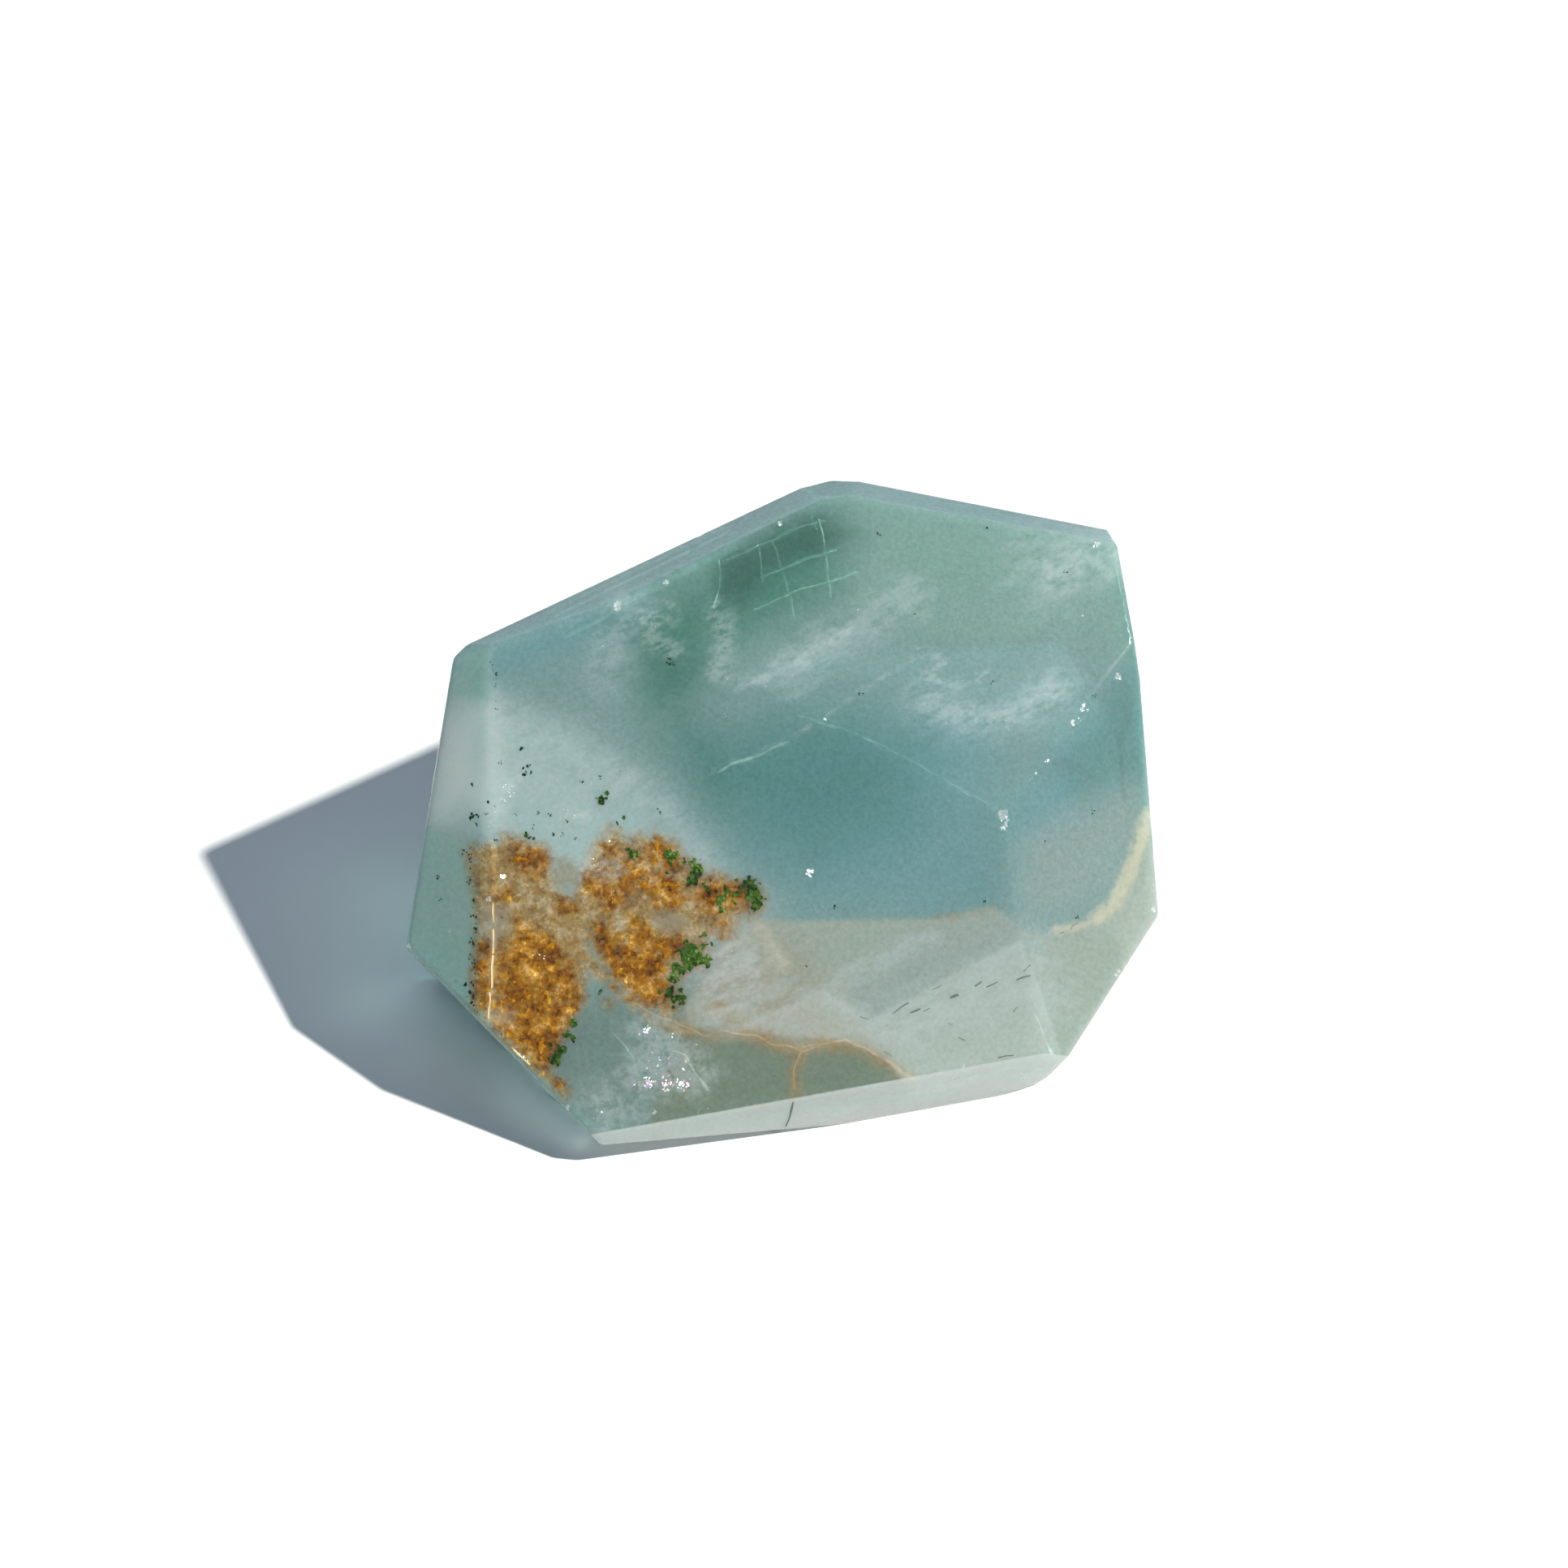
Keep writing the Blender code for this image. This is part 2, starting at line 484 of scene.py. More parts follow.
# The zone, how soft its edge is in pixels, and its outline
PATCHES = (
    ("blue", 70, [(870, 930), (960, 900), (1110, 870), (1225, 880), (1235, 1003), (1226, 1110),
                  (1000, 1118), (905, 1040)]),
    ("blue", 45, [(1232, 1010), (1300, 915), (1400, 825), (1405, 900), (1330, 1000), (1250, 1060)]),
    ("green", 60, [(760, 765), (830, 722), (960, 650), (1035, 625), (1062, 655), (1030, 735),
                   (980, 762), (890, 800), (860, 870), (800, 880)]),
    ("dark", 22, [(888, 690), (955, 650), (1010, 632), (1062, 660), (1040, 672), (960, 700), (915, 745),
                  (880, 735)]),
    ("leaf", 70, [(1085, 605), (1378, 650), (1398, 795), (1340, 748), (1250, 772), (1170, 770),
                  (1060, 725), (1050, 640)]),
    ("milk", 60, [(540, 875), (600, 870), (684, 902), (776, 962), (838, 1034), (896, 1088),
                  (930, 1125), (800, 1140), (700, 1110), (560, 1040), (525, 960)]),
    ("cream", 14, [(905, 1133), (1000, 1134), (1150, 1132), (1222, 1117), (1245, 1130),
                   (1262, 1148), (1300, 1151), (1362, 1123), (1385, 1075), (1412, 1005),
                   (1440, 1128), (1385, 1210), (1320, 1300), (1290, 1340), (1120, 1338),
                   (1090, 1305), (1040, 1285), (985, 1297), (900, 1275), (850, 1268),
                   (845, 1240), (880, 1190)]),
    ("warm", 45, [(870, 1165), (950, 1150), (1010, 1215), (1090, 1290), (985, 1294), (900, 1272),
                  (848, 1258), (850, 1210)]),
    ("ash", 30, [(690, 1255), (760, 1220), (830, 1242), (870, 1280), (880, 1375), (735, 1400),
                 (680, 1350), (660, 1320)]),
    ("smoke", 16, [(846, 1268), (900, 1272), (960, 1288), (985, 1297), (1040, 1283), (1090, 1305),
                   (1124, 1336), (960, 1365), (800, 1386), (815, 1330)]),
    ("deep", 70, [(880, 940), (950, 880), (1060, 870), (1140, 910), (1110, 1010), (1010, 1050),
                  (920, 1030)]),
    # Painted light and shade on the left facet: the next four washes make it bright, as if lamp light that
    # came through the stone glowed in it, with its top and its lower part in a dimmer light
    ("bevel_glow", 26, [(548, 830), (606, 850), (609, 1024), (524, 1020), (528, 900)]),
    ("shade", 14, [(552, 796), (606, 800), (606, 862), (540, 850)]),
    ("shade", 6, [(520, 1016), (577, 1040), (609, 1050), (606, 1264), (500, 1166)]),
    ("pale", 40, [(536, 880), (604, 870), (606, 1000), (524, 1008)]),
    ("pale", 14, [(1368, 1140), (1385, 1128), (1420, 1050), (1434, 1128), (1392, 1196)]),
    ("plane", 4, [(1066, 1262), (1096, 1242), (1258, 1158), (1285, 1230), (1308, 1298),
                  (1290, 1342), (1120, 1342), (1090, 1305)]),
    ("plane", 6, [(904, 1267), (1016, 1221), (1127, 1287), (1100, 1305), (1040, 1283)]),
    # Painted shade: darker teal at the right side, along its outline, where the refracting edge looks dark
    ("side", 40, [(1300, 940), (1385, 840), (1412, 850), (1424, 960), (1340, 980)]),
    ("cool", 40, [(1262, 1030), (1330, 1000), (1400, 960), (1412, 1005), (1385, 1075), (1362, 1123),
                  (1300, 1140), (1250, 1110)]),
    ("haze", 24, [(770, 1262), (800, 1252), (850, 1280), (884, 1322), (860, 1348), (775, 1346),
                  (762, 1320), (785, 1290)]),
    ("haze", 40, [(722, 1352), (750, 1340), (790, 1372), (750, 1392)]),
    # Painted sheen: the narrow faces along the top are made paler, as if they mirrored the bright room
    # behind
    ("strip_sheen", 4, [(573, 793), (603, 796), (753, 742), (1012, 615), (1047, 612), (1378, 671),
                 (1366, 651), (1059, 591), (985, 600)]),
    # Painted reflection: the foot face is made pale grey, as if it mirrored the bright table
    ("light", 4, [(1294, 1326), (1318, 1301), (1286, 1298), (727, 1398), (741, 1412), (1044, 1386),
                  (1229, 1352)]),
)

# The zone, the streak's width in pixels, how strong it is, and its line
STREAKS = (
    ("blue", 60, 0.7, [(612, 812), (700, 785), (775, 762)]),
    ("green", 100, 0.62, [(842, 730), (806, 817), (850, 905), (885, 955)]),
    ("veil", 44, 1.0, [(974, 826), (1010, 800), (1050, 776), (1090, 752), (1120, 736)]),
    ("veil", 18, 0.7, [(912, 842), (944, 836), (964, 826)]),
    ("veil", 50, 0.8, [(1140, 870), (1200, 888), (1250, 880), (1300, 846)]),
    ("veil", 46, 0.8, [(770, 742), (755, 790), (750, 830)]),
    ("veil", 90, 1.0, [(1288, 704), (1324, 682), (1360, 672)]),
    ("veil", 40, 0.8, [(560, 905), (620, 885), (700, 920), (760, 960)]),
    ("veil", 30, 0.8, [(700, 920), (760, 948), (830, 1010), (870, 1060)]),
    ("veil", 22, 0.9, [(904, 1267), (1016, 1220), (1103, 1173), (1150, 1160)]),
    ("veil", 26, 1.0, [(1015, 1226), (1060, 1250), (1100, 1272), (1127, 1285)]),
    ("veil", 60, 0.8, [(1100, 1262), (1190, 1230), (1262, 1180), (1290, 1230)]),
    ("veil", 50, 0.9, [(870, 1200), (905, 1180), (940, 1215), (900, 1245)]),
    ("wisp", 26, 0.67, [(884, 752), (892, 780), (890, 806), (886, 828)]),
    ("wisp", 26, 0.68, [(788, 768), (820, 756)]),
    ("wisp", 22, 0.68, [(800, 786), (832, 804)]),
    ("wisp", 14, 0.60, [(922, 844), (944, 834), (958, 824)]),
    ("wisp", 18, 0.58, [(972, 824), (1008, 798), (1044, 778)]),
    ("wisp", 7, 0.42, [(880, 950), (900, 941), (964, 915), (1016, 882)]),
    ("wisp", 6, 0.40, [(1016, 882), (1084, 836), (1124, 816), (1150, 800)]),
    ("wisp", 12, 0.54, [(1130, 800), (1164, 812), (1140, 836), (1180, 842), (1216, 832)]),
    ("wisp", 24, 0.62, [(1150, 868), (1190, 880), (1222, 884), (1252, 878), (1276, 862), (1300, 850)]),
    ("wisp", 44, 0.66, [(1300, 706), (1328, 692), (1350, 690)]),
    ("wisp", 22, 0.68, [(606, 1004), (618, 985), (626, 966), (640, 950)]),
    ("wisp", 16, 0.61, [(692, 1004), (722, 1004)]),
    ("wisp", 26, 0.68, [(726, 1064), (752, 1072)]),
    ("wisp", 60, 0.61, [(885, 1180), (920, 1190), (890, 1225)]),
    ("wisp", 8, 0.62, [(1180, 1334), (1240, 1318), (1300, 1301)]),
    ("wisp", 8, 0.58, [(1030, 1372), (1110, 1352), (1176, 1337)]),
    ("wisp", 14, 0.66, [(1240, 1342), (1270, 1330), (1300, 1308)]),
    # Painted shade: a darker band along the right outline, where the refracting edge looks dark
    ("side", 18, 1.0, [(1378, 655), (1398, 795), (1407, 880), (1424, 960), (1436, 1060), (1441, 1120)]),
    ("cool", 60, 1.0, [(1085, 1230), (1150, 1180), (1270, 1150)]),
    ("stain", 13, 0.8, [(835, 1262), (872, 1276), (925, 1275)]),
    ("stain", 20, 1.0, [(885, 1242), (928, 1273), (960, 1285), (985, 1297)]),
    ("stain", 18, 0.9, [(985, 1297), (1009, 1285), (1065, 1292), (1121, 1329)]),
    ("stain", 16, 0.8, [(988, 1299), (981, 1320), (978, 1354)]),
    ("stain", 10, 0.4, [(1150, 1130), (1190, 1127), (1224, 1117)]),
    ("cream_vein_and_highlight", 17, 1.0, [(1352, 1132), (1376, 1110), (1392, 1075), (1410, 1020), (1416, 1004)]),
    # Painted highlight: this pale streak on the edge over the rust stands for the lamp caught by the
    # rounded edge; the other streaks of this zone are cream veins
    ("cream_vein_and_highlight", 7, 1.0, [(609, 1130), (604, 1256)]),
    ("cream_vein_and_highlight", 12, 0.7, [(1300, 1146), (1330, 1140), (1352, 1132)]),
    ("cream_vein_and_highlight", 20, 0.5, [(935, 1142), (966, 1186)]),
)

# The same in the imagined picture from behind
STREAKS_BEHIND = (
    ("blue", 150, 0.8, [(1000, 1090), (1130, 1040), (1260, 980)]),
    ("deep", 110, 0.7, [(560, 1130), (700, 1150), (860, 1230)]),
    ("milk", 120, 0.8, [(900, 1060), (860, 1160), (900, 1290), (960, 1380)]),
    ("haze", 60, 0.9, [(1210, 990), (1300, 955), (1360, 960)]),
    ("veil", 70, 1.0, [(555, 1240), (640, 1180), (740, 1135), (850, 1105)]),
    ("veil", 44, 0.9, [(690, 1300), (800, 1245), (900, 1210), (965, 1180)]),
    ("veil", 80, 1.0, [(1010, 1335), (1080, 1240), (1160, 1150), (1255, 1060)]),
    ("veil", 50, 0.9, [(1180, 1310), (1250, 1220), (1335, 1110)]),
    ("wisp", 26, 0.66, [(600, 1215), (690, 1165), (790, 1130)]),
    ("wisp", 34, 0.68, [(1040, 1300), (1105, 1215), (1180, 1140)]),
    ("wisp", 14, 0.62, [(955, 1105), (1060, 1065), (1160, 1040)]),
    ("wisp", 9, 0.60, [(640, 1290), (760, 1220), (850, 1180)]),
    ("wisp", 22, 0.64, [(1230, 1250), (1290, 1170), (1350, 1090)]),
    ("stain", 16, 0.9, [(1150, 1370), (1190, 1310), (1240, 1250), (1262, 1195)]),
    ("stain", 12, 0.8, [(1190, 1310), (1170, 1270), (1165, 1230)]),
    ("cream_vein_and_highlight", 14, 0.9, [(545, 1120), (575, 1180), (590, 1250), (620, 1310)]),
)

# %% Lay the washes on
spots = np.array([vert.co for vert in stone.verts])
normals = np.array([vert.normal for vert in stone.verts])
facing = normals @ np.array(toward_camera) > 0
pixels = picture_of(spots)
washes = {}
# The rust's own zones, how soft their edges are in pixels, and their outlines
rusty_zones = (("band", 16, STAINED), ("rust", 18, RUST), ("spot", 10, MILKY_SPOTS))
grown = [(zone, softness, outline) for zone, softness, shapes in rusty_zones for outline in shapes]
for zone, softness, outline in (*PATCHES, *grown):
    washes[zone] = np.maximum(washes.get(zone, 0), patch(pixels, outline, softness))
sides = ((FRONT, STREAKS, np.where(facing, 1, BACK_SHARE)), (BEHIND, STREAKS_BEHIND, ~facing))
for eye, streaks, share in sides:
    for zone, width, strength, line in streaks:
        laid = streak(picture_of(spots, eye), line, width) * strength * share
        washes[zone] = np.maximum(washes[zone], laid) if zone in washes else laid
washes["chip"] = np.array([float(in_chip(vert.co, CHIP_RIM) is not None) for vert in stone.verts])
for zone, depth in washes.items():
    print(f"{zone}: {np.mean(depth[facing] > ON_THE_EDGE):.0%} of the points that the picture shows")

# %% [markdown]
# ## Shader helpers
# A material is a small network of nodes, and a script that builds it spends most of its lines on
# adding a node, setting its values and joining it to others. One helper does all three. What
# several materials need is then made a node group: a network with named inputs and outputs that
# can be placed like a single node.

# %% Nodes in one line


def add(tree, kind, inputs=None, **settings):
    """Adds a node. An input is a plain value or the output of another node."""
    made = tree.nodes.new("ShaderNode" + kind)
    for name, value in settings.items():
        setattr(made, name, value)
    for name, value in (inputs or {}).items():
        if isinstance(value, bpy.types.NodeSocket):
            tree.links.new(value, made.inputs[name])
        else:
            made.inputs[name].default_value = value
    return made


def maths(tree, operation, *values, clamp=False):
    """The output of a Math node."""
    return add(tree, "Math", dict(enumerate(values)), operation=operation, use_clamp=clamp).outputs[0]


def blend(tree, share, first, second, how="MIX"):
    """The output of a colour Mix node."""
    inputs = {0: share, 6: first, 7: second}
    return add(tree, "Mix", inputs, data_type="RGBA", blend_type=how).outputs[2]


def new_group(name, inputs, outputs):
    """A node group whose inputs are named numbers with a default. Returns it and its two ends."""
    group = bpy.data.node_groups.new(name, "ShaderNodeTree")
    for label, default in inputs.items():
        socket = group.interface.new_socket(label, in_out="INPUT", socket_type="NodeSocketFloat")
        socket.default_value = default
    for label in outputs:
        group.interface.new_socket(label, in_out="OUTPUT", socket_type="NodeSocketFloat")
    return group, group.nodes.new("NodeGroupInput").outputs, group.nodes.new("NodeGroupOutput").inputs


def use(tree, group, inputs):
    """Places a group in a material's tree and returns its outputs."""
    placed = tree.nodes.new("ShaderNodeGroup")
    placed.node_tree = group
    for name, value in inputs.items():
        if isinstance(value, bpy.types.NodeSocket):
            tree.links.new(value, placed.inputs[name])
        else:
            placed.inputs[name].default_value = value
    return placed.outputs


def grain_scale(tree, size):
    """A texture's scale for grains of a size in millimetres."""
    return maths(tree, "DIVIDE", 1 / MM, size)


def ramp(tree, value, stops):
    """The output of a Color Ramp with the given stops, each a place from 0 to 1 and a colour."""
    made = add(tree, "ValToRGB", {"Fac": value})
    while len(made.color_ramp.elements) < len(stops):
        made.color_ramp.elements.new(1)
    for element, (place_on_ramp, colour) in zip(made.color_ramp.elements, stops):
        element.position = place_on_ramp
        element.color = colour
    return made.outputs["Color"]


# %% A group that frays an edge
# The growth layers run along the white veil, from one end of it to the other
VEIL_ENDS = (880, 842), (1115, 735)
GROWTH_ALONG = (place(VEIL_ENDS[1]) - place(VEIL_ENDS[0])).normalized()
MIDDLE_TONE = 0.5  # the value that every noise pattern swings round

frayed_edge, given, result = new_group(
    "frayed_edge", {"Depth": 0, "Softness": 0.2, "Fray": 0.3, "Grain": 1, "Stretch": 0}, ["Mask"]
)
where = add(frayed_edge, "TexCoord").outputs["Object"]
along = add(frayed_edge, "VectorMath", {0: where, 1: GROWTH_ALONG}, operation="DOT_PRODUCT")
shorter = maths(frayed_edge, "MULTIPLY", along.outputs["Value"], given["Stretch"])
squeeze = add(frayed_edge, "VectorMath", {0: GROWTH_ALONG, "Scale": shorter}, operation="SCALE")
drawn_out = add(frayed_edge, "VectorMath", {0: where, 1: squeeze.outputs[0]}, operation="SUBTRACT")
ragged = add(
    frayed_edge, "TexNoise",
    {
        "Vector": drawn_out.outputs[0], "Scale": grain_scale(frayed_edge, given["Grain"]),
        "Detail": 5, "Roughness": 0.62,
    },
)
swing = maths(frayed_edge, "SUBTRACT", ragged.outputs["Fac"], MIDDLE_TONE)
push = maths(frayed_edge, "MULTIPLY", swing, given["Fray"])
shifted = maths(frayed_edge, "MULTIPLY", given["Depth"], maths(frayed_edge, "ADD", 1, push))
edge = add(
    frayed_edge, "MapRange",
    {
        "Value": shifted,
        "From Min": maths(frayed_edge, "SUBTRACT", ON_THE_EDGE, given["Softness"]),
        "From Max": maths(frayed_edge, "ADD", ON_THE_EDGE, given["Softness"]),
    },
    interpolation_type="SMOOTHSTEP",
)
frayed_edge.links.new(edge.outputs["Result"], result["Mask"])
print("group", frayed_edge.name, "takes", list(given.keys())[:-1])

# %% A group that tells grains apart
WARP = 0.4 * MM  # how far the grains' outlines are bent
BROAD_PATCHES = 700  # to the metre

grain_tones, given, result = new_group(
    "grain_tones", {"Grain": 0.3, "Spread": 0.5, "Drift": 0.5}, ["Tone", "Relief"]
)
where = add(grain_tones, "TexCoord").outputs["Object"]
scale = grain_scale(grain_tones, given["Grain"])
wander = add(grain_tones, "TexNoise", {"Vector": where, "Scale": scale, "Detail": 2})
bent = {0: wander.outputs["Color"], 1: (WARP, WARP, WARP), 2: where}
warped = add(grain_tones, "VectorMath", bent, operation="MULTIPLY_ADD")
cells = add(grain_tones, "TexVoronoi", {"Vector": warped.outputs[0], "Scale": scale})
rough = {"Vector": where, "Scale": BROAD_PATCHES, "Detail": 6, "Roughness": 0.68}
broad = add(grain_tones, "TexNoise", rough)
grey = add(grain_tones, "RGBToBW", {"Color": cells.outputs["Color"]}).outputs[0]
tone = MIDDLE_TONE
for pattern, weight in ((grey, given["Spread"]), (broad.outputs["Fac"], given["Drift"])):
    swing = maths(grain_tones, "MULTIPLY", maths(grain_tones, "SUBTRACT", pattern, MIDDLE_TONE), weight)
    tone = maths(grain_tones, "ADD", tone, swing)
grain_tones.links.new(tone, result["Tone"])
grain_tones.links.new(cells.outputs["Distance"], result["Relief"])
print("group", grain_tones.name, "takes", list(given.keys())[:-1])

# %% [markdown]
# ## The fluorite
# Milky fluorite does two things with light. Part of it goes straight through, bent and slightly
# coloured, as in glass: that is Transmission with a plain index of refraction, and a plain volume
# absorption that makes thick parts deeper in colour than thin ones. The rest is scattered by tiny
# bubbles and comes back out nearby: that is Subsurface. A scattering volume would be truer, but
# it needs far more samples, and it is lost when the model is exported.
#
# One more trick is common for glass. The lamp's rays are aimed straight at things and can't find
# their way through a surface that bends light, so whatever lies inside would be dark. A ray that
# meets the surface from inside on its way to a lamp is therefore let through by a Transparent
# shader. Rays from outside are still stopped, so the stone keeps its shadow on the table.

# %% What each zone looks like
RUST_TONES = (
    (0.05, srgb(84, 44, 2)), (0.28, srgb(128, 80, 2)), (0.48, srgb(156, 108, 6)),
    (0.68, srgb(180, 136, 30)), (0.92, srgb(216, 184, 112)),
)
BEIGE_TONES = (
    (0.05, srgb(124, 84, 34)), (0.35, srgb(170, 134, 66)), (0.60, srgb(194, 164, 100)),
    (0.90, srgb(216, 202, 172)),
)
# The zone, its colour, its strength, and its edge: softness, fray, grain in millimetres, stretch.
# A later zone lies over the earlier ones.
ZONE_LOOKS = (
    ("blue", srgb(128, 176, 182), 0.75, 0.50, 0.80, 6.0, 0.5),
    ("green", srgb(82, 142, 128), 0.80, 0.45, 0.90, 3.5, 0.3),
    ("deep", srgb(96, 152, 146), 0.70, 0.50, 0.60, 5.0, 0.5),
    ("dark", srgb(80, 122, 110), 0.85, 0.45, 1.20, 1.5, 0.0),
    ("leaf", srgb(150, 188, 176), 0.80, 0.45, 0.60, 5.0, 0.5),
    ("milk", srgb(206, 228, 226), 0.68, 0.50, 1.00, 3.0, 0.0),
    # Painted light: the left facet glows as if lit through the stone
    ("bevel_glow", srgb(180, 214, 208), 0.90, 0.30, 0.30, 3.0, 0.0),
    # Painted sheen: the narrow top faces made paler, as if mirroring the room
    ("strip_sheen", srgb(160, 190, 192), 0.90, 0.20, 0.40, 3.0, 0.0),
    ("ash", srgb(132, 156, 148), 0.85, 0.45, 1.00, 2.0, 0.0),
    # Painted light where this pale wash lies on the left facet
    ("pale", srgb(240, 250, 248), 0.85, 0.50, 0.80, 3.0, 0.0),
    # Painted light and shade on the left facet: lighter at its top, dimmer in its lower part
    ("shade", srgb(178, 214, 206), 0.85, 0.30, 0.60, 3.0, 0.0),
    ("cream", srgb(186, 196, 184), 0.85, 0.16, 0.40, 2.0, 0.6),
    ("cool", srgb(172, 188, 186), 0.60, 0.45, 1.40, 3.0, 0.8),
    ("warm", srgb(186, 168, 142), 0.45, 0.50, 2.20, 1.6, 0.5),
    ("smoke", srgb(140, 152, 132), 0.85, 0.30, 0.90, 1.8, 0.0),
    ("band", BEIGE_TONES, 0.90, 0.40, 2.40, 0.6, 0.0),
    ("stain", srgb(180, 154, 108), 0.65, 0.55, 2.80, 0.8, 0.0),
    # Cream veins, and on the left edge over the rust a painted highlight
    ("cream_vein_and_highlight", srgb(222, 220, 196), 0.85, 0.45, 2.40, 0.8, 0.0),
    # Painted shade: a darker band along the right outline
    ("side", srgb(112, 150, 144), 0.60, 0.50, 0.80, 3.0, 0.5),
    ("plane", srgb(222, 230, 226), 0.32, 0.40, 1.60, 2.0, 0.7),
    # Painted reflection: the foot face made pale grey, as if mirroring the table
    ("light", srgb(224, 231, 226), 0.85, 0.15, 0.30, 2.0, 0.0),
    ("rust", RUST_TONES, 0.94, 0.35, 3.20, 0.8, 0.0),
    ("spot", srgb(176, 170, 148), 0.75, 0.45, 3.00, 0.6, 0.0),
    ("veil", srgb(222, 238, 240), 0.26, 0.60, 5.50, 0.9, 0.6),
    ("haze", srgb(206, 216, 214), 0.50, 0.50, 4.50, 0.8, 0.0),
    ("wisp", srgb(236, 246, 246), 0.27, 0.55, 9.00, 0.6, 0.5),
    ("chip", srgb(232, 240, 238), 0.55, 0.40, 2.40, 0.3, 0.0),
)
TEAL, GREY_TEAL, PALE_TEAL = srgb(136, 172, 168), srgb(150, 180, 178), srgb(176, 204, 202)
CLEARNESS = 0.52
ABSORPTION = 140
MILK_REACH = 4 * MM
POLISH, DULL_CHIP = 0.05, 0.35
# Patterns to the metre, and how much of the clouds and the speckle shows
SLOW, SPECKLE = 90, 2600
CLOUD_SHARE, SPECKLE_SHARE = 0.35, 0.32

fluorite = bpy.data.materials.new("milky_fluorite")
fluorite.use_nodes = True
tree = fluorite.node_tree
shader = tree.nodes["Principled BSDF"]
where = add(tree, "TexCoord").outputs["Object"]
slow = add(tree, "TexNoise", {"Vector": where, "Scale": SLOW, "Detail": 3})
colour = blend(tree, slow.outputs["Fac"], TEAL, GREY_TEAL)
clouds = use(
    tree, frayed_edge, {"Depth": 0.5, "Softness": 0.5, "Fray": 2.5, "Grain": 3.5, "Stretch": 0.6}
)["Mask"]
colour = blend(tree, maths(tree, "MULTIPLY", clouds, CLOUD_SHARE), colour, PALE_TEAL)
tones = use(tree, grain_tones, {"Grain": 0.24, "Spread": 0.45, "Drift": 2.2})["Tone"]
masks = {}
for zone, tint, strength, softness, fray, grain, stretch in ZONE_LOOKS:
    depth = add(tree, "Attribute", attribute_name=zone).outputs["Fac"]
    look = {"Depth": depth, "Softness": softness, "Fray": fray, "Grain": grain, "Stretch": stretch}
    masks[zone] = use(tree, frayed_edge, look)["Mask"]
    tint = ramp(tree, tones, tint) if isinstance(tint[0], tuple) else tint
    colour = blend(tree, maths(tree, "MULTIPLY", masks[zone], strength), colour, tint)
speckle = add(tree, "TexNoise", {"Vector": where, "Scale": SPECKLE, "Detail": 4, "Roughness": 0.7})
colour = blend(tree, SPECKLE_SHARE, colour, speckle.outputs["Fac"], "OVERLAY")
tree.links.new(colour, shader.inputs["Base Color"])
dullness = maths(tree, "MULTIPLY", masks["chip"], DULL_CHIP)
tree.links.new(maths(tree, "ADD", POLISH, dullness), shader.inputs["Roughness"])
shader.inputs["IOR"].default_value = REFRACTION
shader.inputs["Transmission Weight"].default_value = CLEARNESS
shader.inputs["Subsurface Weight"].default_value = 1
shader.inputs["Subsurface Scale"].default_value = MILK_REACH
shader.inputs["Subsurface Radius"].default_value = (0.7, 1.0, 0.95)
print(len(tree.nodes), "nodes in the fluorite's material")

# %% Waves, absorption and the way out for light
WAVES, WAVE_STRENGTH, WAVE_HEIGHT = 160, 0.35, 0.05 * MM
FINE_WAVES = 0.04
THICK_COLOUR = (0.28, 0.50, 0.50, 1)
LIT_THROUGH = (0.50, 0.49, 0.49, 1)

ripple = add(tree, "TexNoise", {"Vector": where, "Scale": WAVES, "Detail": 2})
fine = maths(tree, "MULTIPLY", speckle.outputs["Fac"], FINE_WAVES)
height = maths(tree, "ADD", ripple.outputs["Fac"], fine)
bump = add(tree, "Bump", {"Height": height, "Strength": WAVE_STRENGTH, "Distance": WAVE_HEIGHT})
tree.links.new(bump.outputs["Normal"], shader.inputs["Normal"])
absorption = add(tree, "VolumeAbsorption", {"Color": THICK_COLOUR, "Density": ABSORPTION})
output = tree.nodes["Material Output"]
tree.links.new(absorption.outputs["Volume"], output.inputs["Volume"])
way_out = maths(
    tree, "MULTIPLY",
    add(tree, "LightPath").outputs["Is Shadow Ray"], add(tree, "NewGeometry").outputs["Backfacing"],
)
let_through = add(tree, "BsdfTransparent", {"Color": LIT_THROUGH})
body_shader = add(
    tree, "MixShader", {0: way_out, 1: shader.outputs["BSDF"], 2: let_through.outputs["BSDF"]}
)
tree.links.new(body_shader.outputs[0], output.inputs["Surface"])

# %% The body takes the fluorite


def join_in(thing):
    """Lets a finished piece ride with the stone."""
    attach(thing, BODY)
    return thing


body = mesh_object("polished_body", stone, fluorite)
for zone, depth in washes.items():
    body.data.attributes.new(zone, "FLOAT", "POINT").data.foreach_set("value", depth.astype(np.float32))
body.data.shade_smooth()
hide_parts(CHUNK)
join_in(body)
print(body.name, "stands for the packed", CHUNK)

# %% [markdown]
# ## Small things inside the stone
# Most of what follows is a real thing shut in the crystal: mineral grains, tiny bubbles, cracks. A
# few pale sheets along an edge are painted highlights, and so in part are the white specks at
# glints. Each kind is one mesh made of many simple bits, placed by pixel and depth with the helper
# from the start. A bit near the face would stick out of it, but the lapidary ground the stone and
# all that is in it at once. So each mesh that reaches the face is ground too: what is beyond a
# ground face is pushed back to it. It ends a hair above or below the face, since two surfaces in
# exactly the same place would flicker.

# %% Sprinkling and grinding
PROUD = 0.02 * MM
GRINDING_PASSES = 2


def pixels_in(outline, count, luck):
    """Random pixels inside an outline."""
    found = np.zeros((0, 2))
    while len(found) < count:
        tries = luck.uniform(np.min(outline, 0), np.max(outline, 0), (count, 2))
        found = np.concatenate([found, tries[within(tries, outline)]])
    return found[:count]


